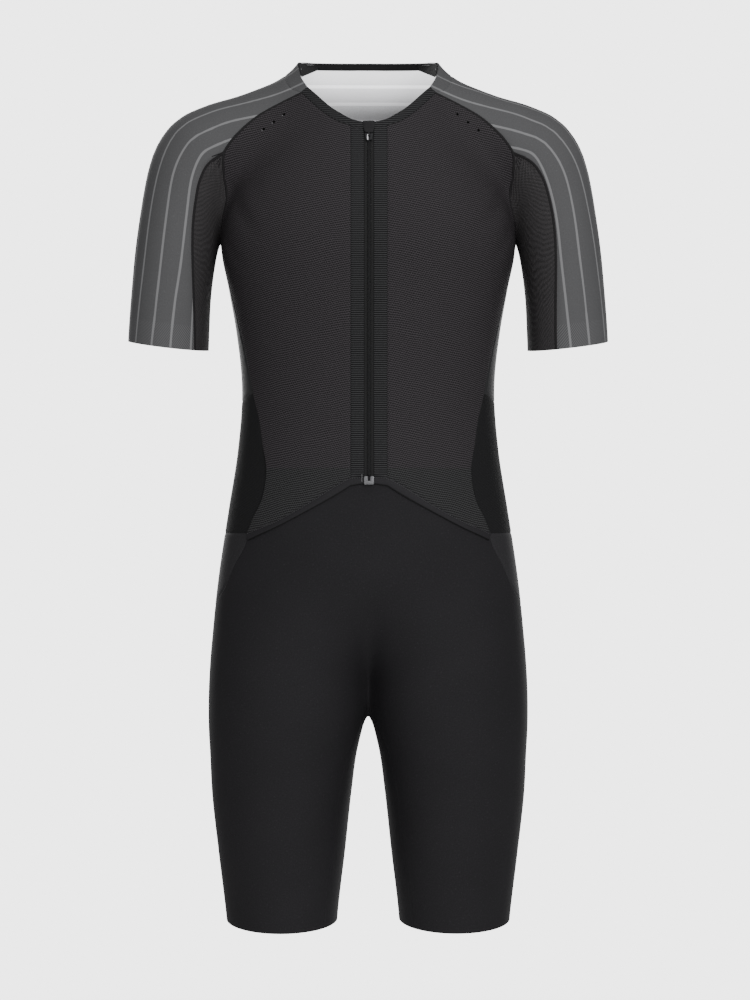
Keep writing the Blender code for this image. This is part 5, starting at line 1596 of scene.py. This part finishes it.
def make_binding(s):
    upper = join(s["point_top"][:3], s["hem_top"])
    lower = join(s["point_bottom"][:3], s["hem_bottom"])
    grid = np.stack([upper, lower])
    long_sides = Side(s["point_top"][:3], s["hem_top"]), Side(s["point_bottom"][:3], s["hem_bottom"])
    sides = [Side(grid[:, 0]), Side(grid[:, -1]), *long_sides]
    panel("hem_binding", sides, binding_cloth, "smooth_binding", grid=grid, across=3.0 * MM, down=1.1 * MM,
          raised=True, weld=1, dips=("top",), relief=folded_edge)
    line = settle(grid[0] + (grid[1] - grid[0]) * 0.12)
    both = np.concatenate([mirrored(line)[::-1], line[1:]])
    both[len(line) - 1, 0] = 0.0
    hem_stitches(both)


make_binding(seams)

# ------------------------------------------------------------------ side panels and hip pieces
# A narrow smooth panel widens from the armpit down, a matt black panel is let into the waist
# under a dipping top seam, and a curved hip piece joins it to the shorts.

HIP_CUT = 6
HIP_SEAM = {
    "columns": ("height", "angle"),
    "rows": (
        (-0.513, 63.2),
        (-0.543, 69.0),
        (-0.567, 74.0),
        (-0.582, 81.0),
        (-0.592, 96.0),
        (-0.583, 105.0),
        (-0.562, 109.5),
        (-0.540, 113.2),
        (-0.513, 116.0),
    ),
}
UPPER_ROWS = 7
HIP_LOWEST = 4
JOIN_HEIGHT = -0.353
JOIN_DIP = 0.008
JOIN_ANGLES = (69.0, 111.0)
LOWER_HEIGHT = -0.507
LOWER_ANGLES = (63.2, 116.0)
SIDE_SEAM = (
    (0.1680, 0.0180, -0.5920),
    (0.1740, 0.0160, -0.6600),
    (0.1760, 0.0120, -0.7200),
    (0.1720, 0.0100, -0.8000),
    (0.1640, 0.0090, -0.8700),
    (0.1560, 0.0080, -0.9378),
)

side_cloth = heather_material(
    "side_smooth", (0.012, 0.012, 0.0125), (0.028, 0.028, 0.030), roughness=0.62, Flecks=0.15, Cloud=0.3
)
black_cloth = knit_material(
    "side_black", (0.0045, 0.0045, 0.005), (0.015, 0.015, 0.016),
    Pitch=1.5 * MM, Slant=0.25, Loop=1.2 * MM, Wobble=0.6 * MM,
)
shorts_cloth = heather_material(
    "shorts_knit", (0.0058, 0.0053, 0.0063), (0.0188, 0.0179, 0.0202), roughness=0.8, Flecks=0.45, Cloud=0.3
)
hip_cloth = heather_material(
    "hip_knit", (0.010, 0.0095, 0.0105), (0.031, 0.030, 0.033), roughness=0.72, Flecks=0.35, Cloud=0.3
)


def make_sides(s):
    count = len(s["side_front"]) - 1
    high, deep = np.arange(UPPER_ROWS + 1.0), np.arange(float(UPPER_ROWS), count + 1.0)
    front, back = s["side_front"], s["side_back"]
    dip = JOIN_DIP * np.sin(np.linspace(0.0, math.pi, 5))
    middle = on_torso(JOIN_HEIGHT - dip, np.linspace(*JOIN_ANGLES, 5))
    middle[0], middle[-1] = front[UPPER_ROWS], back[UPPER_ROWS]
    upper = [Side(front, places=high), Side(back, places=high), Side(s["underarm"], rows=4), Side(middle)]
    panel("side_upper", upper, side_cloth, "smooth_binding", across=3.5 * MM, dips=ALL_ROUND)

    s["hip"] = torso_rows(HIP_SEAM, "angle")
    columns = len(s["hip"]) - 1
    bottom = on_torso(np.full(columns + 1, LOWER_HEIGHT), np.linspace(*LOWER_ANGLES, columns + 1))
    bottom[0], bottom[-1] = front[-1], back[-1]
    lower = [Side(front, places=deep), Side(back, places=deep), Side(middle, rows=columns), Side(bottom)]
    panel("side_lower", lower, black_cloth, "side_black", level=True, dips=ALL_ROUND)

    line = Side(np.concatenate([bottom[:1], s["hip"], bottom[-1:]]))
    s["hip_line"] = line.at(np.arange(0.0, line.rows - 1 + 1 / HIP_CUT, 1 / HIP_CUT))
    last = (line.rows - 1) * HIP_CUT
    short = np.linspace(0.0, HIP_CUT, 4)
    hip = [
        Side(s["hip_line"], places=short), Side(s["hip_line"], places=last - short), Side(bottom),
        Side(s["hip_line"], places=np.arange(HIP_CUT, last - HIP_CUT + 1.0, HIP_CUT)),
    ]
    panel("hip_side", hip, hip_cloth, "shorts_knit", rounds=4, dips=ALL_ROUND)


make_sides(seams)

# ------------------------------------------------------------------ shorts
# The front is one piece across both legs, with its waist edge under the front panels. Two back
# pieces meet at the centre back, and one strip runs from hem to hem through the crotch. The leg
# ends are cut clean, with a thin bonded edge.

LEG_ROWS = 9
SIDE_ROWS = 12
CENTRE_ROWS = 11
BACK_COLUMNS = 9
WAIST_ANGLE = 56.6
WAIST_RISE = 0.029
CROTCH_LOW = (0.0, 0.0, -0.714)
CENTRE_FRONT = (
    (0.0, -0.105, WAIST_FRONT),
    (0.0, -0.105, -0.500),
    (0.0, -0.104, -0.560),
    (0.0, -0.100, -0.620),
    (0.0, -0.088, -0.670),
    (0.0, -0.066, -0.700),
    (0.0, -0.042, -0.712),
)
CENTRE_BACK = (
    (0.0, 0.100, -0.478),
    (0.0, 0.113, -0.540),
    (0.0, 0.122, -0.600),
    (0.0, 0.118, -0.650),
    (0.0, 0.095, -0.690),
    (0.0, 0.065, -0.708),
    (0.0, 0.042, -0.712),
)
GUSSET_FRONT = (
    (0.0000, -0.0420, -0.7120),
    (0.0157, -0.0411, -0.7306),
    (0.0268, -0.0509, -0.7594),
    (0.0339, -0.0544, -0.7915),
    (0.0376, -0.0514, -0.8298),
    (0.0428, -0.0502, -0.8696),
    (0.0488, -0.0486, -0.9145),
    (0.0510, -0.0470, -0.9420),
)


def leg_arc(first, last, pieces):
    """An arc of the leg's hem between two angles turned from the front to +X."""
    turn = np.radians(np.linspace(first, last, pieces + 1))
    sizes = [by_height(LEG, name, HEM_HEIGHT) for name in LEG["columns"][1:]]
    radius = ring_radius(np.sin(turn), -np.cos(turn), *sizes[1:])
    x = sizes[0] + radius * np.sin(turn)
    return on_hem(np.stack([x, -radius * np.cos(turn), np.full(len(turn), HEM_HEIGHT)], axis=-1))


def leg_angle(point):
    centre = float(by_height(LEG, "centre", np.array(HEM_HEIGHT)))
    return math.degrees(math.atan2(point[0] - centre, -point[1]))


def on_side_seam():
    curve = settle(along_curve(settle(SIDE_SEAM), SIDE_ROWS))
    curve[0] = torso_rows(HIP_SEAM, "angle")[HIP_LOWEST]
    curve[-1] = on_hem(curve[-1:])[0]
    return curve


def gusset_seam(rows, start):
    curve = settle(along_curve(settle(rows), LEG_ROWS))
    curve[0] = start
    curve[-1] = on_hem(curve[-1:])[0]
    return curve


def places_along(top, hip, leg, first=0):
    """Places on a side, a hip and a leg seam laid end to end, from this row of the first one."""
    parts = [np.arange(float(first), top), top + np.arange(0.0, hip, HIP_CUT), top + hip + np.arange(leg + 1.0)]
    return np.concatenate(parts)


def make_shorts(s):
    s["side_seam"] = on_side_seam()
    s["centre_front"] = on_centre(along_curve(settle(CENTRE_FRONT), CENTRE_ROWS))
    s["centre_back"] = on_centre(along_curve(settle(CENTRE_BACK), CENTRE_ROWS))
    crotch = on_centre(along_curve(settle([CENTRE_FRONT[-1], CROTCH_LOW, CENTRE_BACK[-1]]), 4))
    s["gusset_front"] = gusset_seam(GUSSET_FRONT, crotch[0])
    s["gusset_back"] = gusset_seam([(x, -y, z) for x, y, z in GUSSET_FRONT], crotch[-1])
    s["centre_front"][-1], s["centre_back"][-1] = crotch[0], crotch[-1]

    waist_row = 1 + column(SIDE_SEAMS, "height").tolist().index(WAIST_FRONT)
    waist = on_torso(np.full(BACK_COLUMNS + 1, WAIST_FRONT), np.linspace(0.0, WAIST_ANGLE, BACK_COLUMNS + 1))
    waist[0], waist[-1] = s["centre_front"][0], s["side_front"][waist_row]
    lowest = (HIP_LOWEST + 1) * HIP_CUT
    hip = s["hip_line"][: lowest + 1]
    places = places_along(len(s["side_front"]) - 1, lowest, len(s["side_seam"]) - 1, waist_row)
    rows = max(CENTRE_ROWS + LEG_ROWS, len(places) - 1)
    outside = Side(s["side_front"], hip, s["side_seam"], places=places, rows=rows)
    weld = rows - LEG_ROWS
    centre = Side(s["centre_front"], rows=weld).places
    leg = CENTRE_ROWS + np.arange(1.0, LEG_ROWS + 1)
    inside = Side(s["centre_front"], s["gusset_front"], places=np.concatenate([centre, leg]))
    hem = leg_arc(leg_angle(s["gusset_front"][-1]), leg_angle(s["side_seam"][-1]), BACK_COLUMNS)
    hem[0], hem[-1] = s["gusset_front"][-1], s["side_seam"][-1]
    panel("shorts_front", [inside, outside, Side(waist), Side(hem)], shorts_cloth, "shorts_knit", weld=weld,
          dips=("end",))

    last = LOWER_ANGLES[1]
    angles = np.linspace(180.0, last, BACK_COLUMNS + 1)
    waist_back = on_torso(LOWER_HEIGHT + WAIST_RISE * ramp((angles - last) / (180.0 - last)), angles)
    waist_back[0], waist_back[-1] = s["centre_back"][0], s["side_back"][-1]
    s["waist_back"] = waist_back
    hip = s["hip_line"][lowest:][::-1]
    inside = Side(s["centre_back"], s["gusset_back"])
    places = places_along(0, len(hip) - 1, len(s["side_seam"]) - 1)
    outside = Side(hip, s["side_seam"], places=places, rows=inside.rows - 1)
    hem = leg_arc(leg_angle(s["gusset_back"][-1]) + 360.0, leg_angle(s["side_seam"][-1]), BACK_COLUMNS)
    hem[0], hem[-1] = s["gusset_back"][-1], s["side_seam"][-1]
    panel("shorts_back", [inside, outside, Side(waist_back), Side(hem)], shorts_cloth, "shorts_knit",
          dips=("start", "end", "top"))

    hem = leg_arc(leg_angle(s["gusset_front"][-1]), leg_angle(s["gusset_back"][-1]), 4)
    hem[0], hem[-1] = s["gusset_front"][-1], s["gusset_back"][-1]
    strip = [Side(crotch), Side(hem), Side(s["gusset_front"]), Side(s["gusset_back"])]
    panel("gusset", strip, shorts_cloth, "shorts_knit", weld=4, dips=("top", "bottom"))


make_shorts(seams)

# ------------------------------------------------------------------ back yoke, back panel and neck tape
# The yoke is the sleeves' striped cloth, pale on its inner side, where the stripes show through.
# Plain mesh covers the back below it. A folded dark tape is sewn inside the neck edge.

YOKE_TOP = 0.0290
YOKE_LOW = -0.150
YOKE_ROW = 2
YOKE_DEPTHS = (YOKE_LOW, -0.05, YOKE_TOP), (0.105, 0.085, 0.061)
YOKE_EDGE = ((0.06, 0.110, -0.147), (0.12, 0.090, -0.141))
YOKE_STRIPE = 18.8 * MM
ARCH_HEIGHT = 0.0025
ARCH_BEND = 0.97
ARCH_CENTRE = 0.012
BACK_DEPTHS = (-0.478, -0.35, -0.15), (0.100, 0.090, 0.105)
# Heights over which the lining's painted light rises, and its strength at the neck edge.
PAINTED_LIGHT_HEIGHTS = (-0.032, 0.022)
PAINTED_LIGHT_AT_NECK = 3.2
TAPE_WIDTH = 8.0 * MM
TAPE_NARROWS = 10
TAPE_FREE = (6.0, 16.25)
TAPE_HALF = 0.3 * MM


def yoke_stripes(base):
    """Shallow arched stripes across the back."""
    arch = ARCH_HEIGHT - ARCH_BEND * (base[:, 0] - ARCH_CENTRE) ** 2
    number = 20.0 + (arch - base[:, 2]) / YOKE_STRIPE
    return np.stack([number, np.full(len(base), YOKE_STRIPE)], axis=-1)


def pale_lining():
    """The pale inner side of the striped cloth, with painted light: it glows in its own colour, more strongly
    towards the neck edge.
    """
    made, tree, shader = new_material("yoke_inside", 0.85)
    weave = place_group(tree, HEATHER, {"Cloth": cloth_map(tree), "Flecks": 0.2, "Cloud": 0.5})
    ground = mixed(tree, weave["Shade"], (0.42, 0.42, 0.43), (0.60, 0.60, 0.615))
    stripes = place_group(tree, PINSTRIPE, {"Map": cloth_map(tree, "stripes"), "Half Width": 1.7 * MM})
    colour = mixed(tree, maths(tree, "MULTIPLY", stripes["Mask"], 0.6), ground, (0.86, 0.86, 0.88))
    # Painted light: the lining emits its own colour, rising to full strength at the neck edge, though no lamp
    # is there.
    lining_painted_light = span(tree, body_place(tree)["Z"], *PAINTED_LIGHT_HEIGHTS, interpolation_type="SMOOTHSTEP")
    lining_painted_light.node.inputs["To Max"].default_value = PAINTED_LIGHT_AT_NECK
    tree.links.new(colour, shader.inputs["Base Color"])
    tree.links.new(colour, shader.inputs["Emission Color"])
    tree.links.new(lining_painted_light, shader.inputs["Emission Strength"])
    bump(tree, shader, weave["Height"], 0.10 * MM)
    return made


neck_tape_cloth = knit_material(
    "neck_tape", (0.010, 0.010, 0.0105), (0.028, 0.028, 0.030),
    Pitch=1.0 * MM, Slant=0.5, Loop=0.9 * MM, Wobble=0.1 * MM,
)
pale_thread = plain_material("pale_thread", (0.42, 0.42, 0.43), 0.75, specular=0.2, scale=900.0)


def make_back(s):
    right = Side(s["raglan_back"], s["armhole_back"])
    corner = s["armhole_back"][YOKE_ROW]
    first = len(s["raglan_back"]) - 1 + YOKE_ROW
    yoke_right = Side(*right.seams, places=np.arange(first + 1.0))
    rows = yoke_right.rows - 1
    heights = np.linspace(YOKE_TOP, YOKE_LOW, rows + 1)
    depths = np.interp(heights, *YOKE_DEPTHS)
    centre = on_centre(np.stack([0 * heights, depths, heights], axis=-1))
    centre[0] = s["neck_back"][0]
    bottom = settle(along_curve(settle([centre[-1], *YOKE_EDGE, corner]), BACK_COLUMNS))
    bottom[0], bottom[-1] = centre[-1], corner
    sides = [Side(centre), yoke_right, Side(s["neck_back"]), Side(bottom)]
    panel("back_yoke", sides, sleeve_cloth, "striped_cloth", weld=rows, dips=("end", "bottom"),
          stripes=yoke_stripes, inner_made=pale_lining())

    edges = s["raglan_back"], s["armhole_back"], s["side_back"]
    right = Side(*edges, places=np.arange(float(first), pieces_in(*edges) + 1.0))
    rows = right.rows - 1
    heights = np.linspace(centre[-1, 2], s["centre_back"][0, 2], rows + 1)
    depths = np.interp(heights, *BACK_DEPTHS)
    middle = on_centre(np.stack([0 * heights, depths, heights], axis=-1))
    middle[0], middle[-1] = centre[-1], s["centre_back"][0]
    panel("back_panel", [Side(middle), right, Side(bottom), Side(s["waist_back"])], body_mesh, "body_mesh",
          weld=rows, level=True, dips=("end", "top", "bottom"))

    edge = join(s["neck_back"], s["neck_shoulder"][::-1][:8])
    low = beside(edge, TAPE_WIDTH)
    share = np.clip((np.arange(len(edge)) - TAPE_NARROWS) / (len(edge) - 1 - TAPE_NARROWS), 0.0, 1.0)[:, None]
    low = settle(low + (edge - low) * 0.85 * share)
    grid = np.stack([edge, low])
    sides = [Side(grid[:, 0]), Side(grid[:, -1]), Side(edge), Side(low)]
    panel("neck_tape", sides, neck_tape_cloth, "neck_tape", grid=grid, across=3.0 * MM, down=1.2 * MM, weld=1,
          low=-1.4 * MM, high=-0.4 * MM)
    s["corner_line"] = make_tape_corners(join(s["neck_back"], s["neck_shoulder"][::-1]), low)


def make_tape_corners(edge, low):
    """The free lower part of the tape on each side, which cuts the corner of the neck opening."""
    along = np.linspace(TAPE_FREE[0], TAPE_FREE[1], 30)
    upper = spline(np.arange(len(edge)), edge, along)
    upper = upper - outward(upper) * 1.8 * MM
    start = spline(np.arange(len(low)), low, along[:1])[0]
    start = start - outward(start[None])[0] * 1.6 * MM
    share = np.linspace(0.0, 1.0, len(along))[:, None]
    lower = start * (1 - share) + upper[-1] * share
    rows = np.linspace(0.0, 1.0, 6)[:, None, None]
    base = upper[None] * (1 - rows) + lower[None] * rows
    aside = unit(np.cross(np.gradient(upper, axis=0), lower - upper + np.array([0.0, 0.0, -0.3 * MM])))
    aside *= np.sign((aside * (np.array([0.0, -0.3, 0.05]) - upper)).sum())
    quads = grid_faces(*base.shape[:2])
    skins = [(base + side * TAPE_HALF * aside[None]).reshape(-1, 3) for side in (1.0, -1.0)]
    far = np.broadcast_to(distances(upper), base.shape[:2])
    deep = np.linalg.norm(base - upper[None], axis=-1)
    uv = np.stack([far, deep], axis=-1).reshape(-1, 2)
    for side, turn in SIDES:
        piece = sheet_object("tape_corner" + side, *map(turn, skins), quads, neck_tape_cloth, cloth_uv=uv)
        declare_piece(piece)
    return base[1] + 0.5 * MM * aside


make_back(seams)

# ------------------------------------------------------------------ seam ridges, punched holes and stitches
# The seam allowances of raglan, armhole and sleeve seams are pressed to the mesh side, where they
# show as narrow dark ridges. Three small punched holes beside each raglan seam are dark discs of
# painted shade, each with a painted highlight beside it. Short rows of pale thread tack the ends of
# the neck tape and of the zip.

RIDGE_HALF = 1.3 * MM
RIDGE_HEIGHT = 0.45 * MM
RIDGE_STEP = 2.5 * MM
RIDGE_AWAY = 0.3 * MM
RIDGE_SUNK = 0.1 * MM
RIDGE_ROOT = 0.6 * MM
HOLE_RADIUS = 1.25 * MM
HOLES = {
    "columns": ("across", "height"),
    "rows": (
        (0.0974, -0.0467),
        (0.1091, -0.0553),
        (0.1209, -0.0636),
        (-0.0924, -0.0471),
        (-0.1036, -0.0551),
        (-0.1149, -0.0629),
    ),
}
# Ends of the dark bars of painted shade in the armpit puckers.
TUCK_SHADE_LINES = {
    "columns": ("x1", "z1", "x2", "z2"),
    "rows": (
        (0.1605, -0.0885, 0.1725, -0.0930),
        (0.1612, -0.0910, 0.1712, -0.0985),
        (0.1620, -0.0935, 0.1690, -0.1025),
        (0.1625, -0.0960, 0.1662, -0.1065),
    ),
}
BAR_TACK_ACROSS = -7.6 * MM
BAR_TACK_HEIGHTS = (-0.4428, -0.4456, -0.4484)

ridge_cloth = heather_material(
    "seam_ridge", (0.006, 0.0055, 0.006), (0.018, 0.017, 0.018), Flecks=0.2, Cloud=0.2
)
grey_thread = plain_material("grey_thread", (0.20, 0.20, 0.205), 0.75, specular=0.2, scale=900.0)
# Painted shade: the dark seen through each punched hole.
hole_painted_shade = plain_material("punched_hole", (0.0025, 0.0025, 0.0025), 0.9, specular=0.0)


def ridge(name, curve, inside):
    """A low rounded ridge beside a seam, on the side of the point inside."""
    fine = settle(along_curve(curve, max(4, int(distances(curve)[-1] / RIDGE_STEP))), rounds=3)
    aside = unit(np.cross(np.gradient(fine, axis=0), outward(fine)))
    aside *= np.sign((aside * (inside - fine)).sum(axis=-1).mean())
    across = np.linspace(-1.0, 1.0, 7)
    base = fine[:, None] + aside[:, None] * ((across + 1.0) * RIDGE_HALF + RIDGE_AWAY)[None, :, None]
    base = settle(base, rounds=3).reshape(-1, 3)
    rows, columns = len(fine), len(across)
    crown = np.tile(RIDGE_HEIGHT * np.sqrt(1.001 - across**2), rows)
    up = outward(base)
    off = OUTER_FACE - crease_depth(base)
    uv = np.stack([np.tile(across * RIDGE_HALF, rows), np.repeat(distances(fine), columns)], axis=-1)
    skins = base + up * (off + crown - RIDGE_SUNK)[:, None], base + up * (off - RIDGE_ROOT)[:, None]
    piece = sheet_object(name, *skins, grid_faces(rows, columns), ridge_cloth, cloth_uv=uv)
    declare_piece(piece)


def make_ridges(s):
    ahead, behind = np.array([0.08, -0.10, -0.25]), np.array([0.08, 0.10, -0.25])
    under = np.array([0.195, 0.0, -0.25])
    for side, turn in SIDES:
        for name, curves, inside in (
            ("front", (s["raglan_front"][1:], s["armhole_front"][:5]), ahead),
            ("back", (s["raglan_back"][1:], s["armhole_back"][:5]), behind),
            ("sleeve_front", (s["sleeve_front" + side],), under),
            ("sleeve_back", (s["sleeve_back" + side],), under),
        ):
            ridge("ridge_" + name + side, turn(join(*curves)), turn(inside))


def make_holes():
    """Rimmed dark discs of painted shade let into the mesh for the holes, each with a small pale bead beside
    it, a painted highlight.
    """
    middle = on_front(column(HOLES, "across"), column(HOLES, "height"))
    up = outward(middle)
    middle = middle + up * (OUTER_FACE - crease_depth(middle))[:, None]
    upright = np.tile([0.0, 0.0, 1.0], (len(middle), 1))
    for name, low, high, radius, made in (
        ("hole_rims", -0.30, 0.14, HOLE_RADIUS + 0.45 * MM, ridge_cloth),
        ("punched_holes", -0.25, 0.20, HOLE_RADIUS, hole_painted_shade),
    ):
        ends = middle + up * low * MM, middle + up * high * MM
        bars(name, *ends, upright, radius, made, "body_mesh", around=20, tip=0.02)
    # Painted highlight: a pale spot beside each hole.
    highlight_spots = middle + up * 0.15 * MM + np.array([-1.9 * MM, 0.0, -1.6 * MM])
    bars("hole_beads", highlight_spots, highlight_spots + up * 0.35 * MM, upright, 0.42 * MM, pale_thread, "body_mesh", around=10)


def make_tuck_shade():
    """Painted shade: short dark bars where raglan, armhole and sleeve seams meet at the front of each armpit,
    for the shade in the puckers' folds.
    """
    for side, sign in (("_r", 1.0), ("_l", -1.0)):
        starts = on_front(sign * column(TUCK_SHADE_LINES, "x1"), column(TUCK_SHADE_LINES, "z1"))
        ends = on_front(sign * column(TUCK_SHADE_LINES, "x2"), column(TUCK_SHADE_LINES, "z2"))
        middle = (starts + ends) / 2
        up = outward(middle)
        off = up * (OUTER_FACE - crease_depth(middle))[:, None]
        name = "armpit_tucks" + side
        bars(name, starts + off, ends + off, up, 0.55 * MM, ridge_cloth, "body_mesh", around=8)


def make_tacks(s):
    """Pale stitches on the neck tape's free corners, and a grey bar tack beside the zip's end."""
    line = s["corner_line"]
    far = distances(line)
    starts = spline(far, line, np.array([0.10, 0.71]) * far[-1])
    ends = spline(far, line, np.array([0.28, 0.75]) * far[-1])
    both = [np.concatenate([part, mirrored(part)]) for part in (starts, ends)]
    bars("tape_tacks", *both, np.tile([0.0, -1.0, 0.1], (4, 1)), 0.26 * MM, pale_thread, "neck_tape")
    tops = on_front(BAR_TACK_ACROSS, np.array(BAR_TACK_HEIGHTS))
    up = outward(tops)
    tops = tops + up * (OUTER_FACE + FLAP_LIFT + 0.35 * MM)
    lows = tops - np.array([0.0, 0.0, 2.6 * MM])
    bars("zip_bar_tack", tops, lows, up, 0.36 * MM, grey_thread, "ribbed_band")


make_ridges(seams)
make_holes()
make_tuck_shade()
make_tacks(seams)
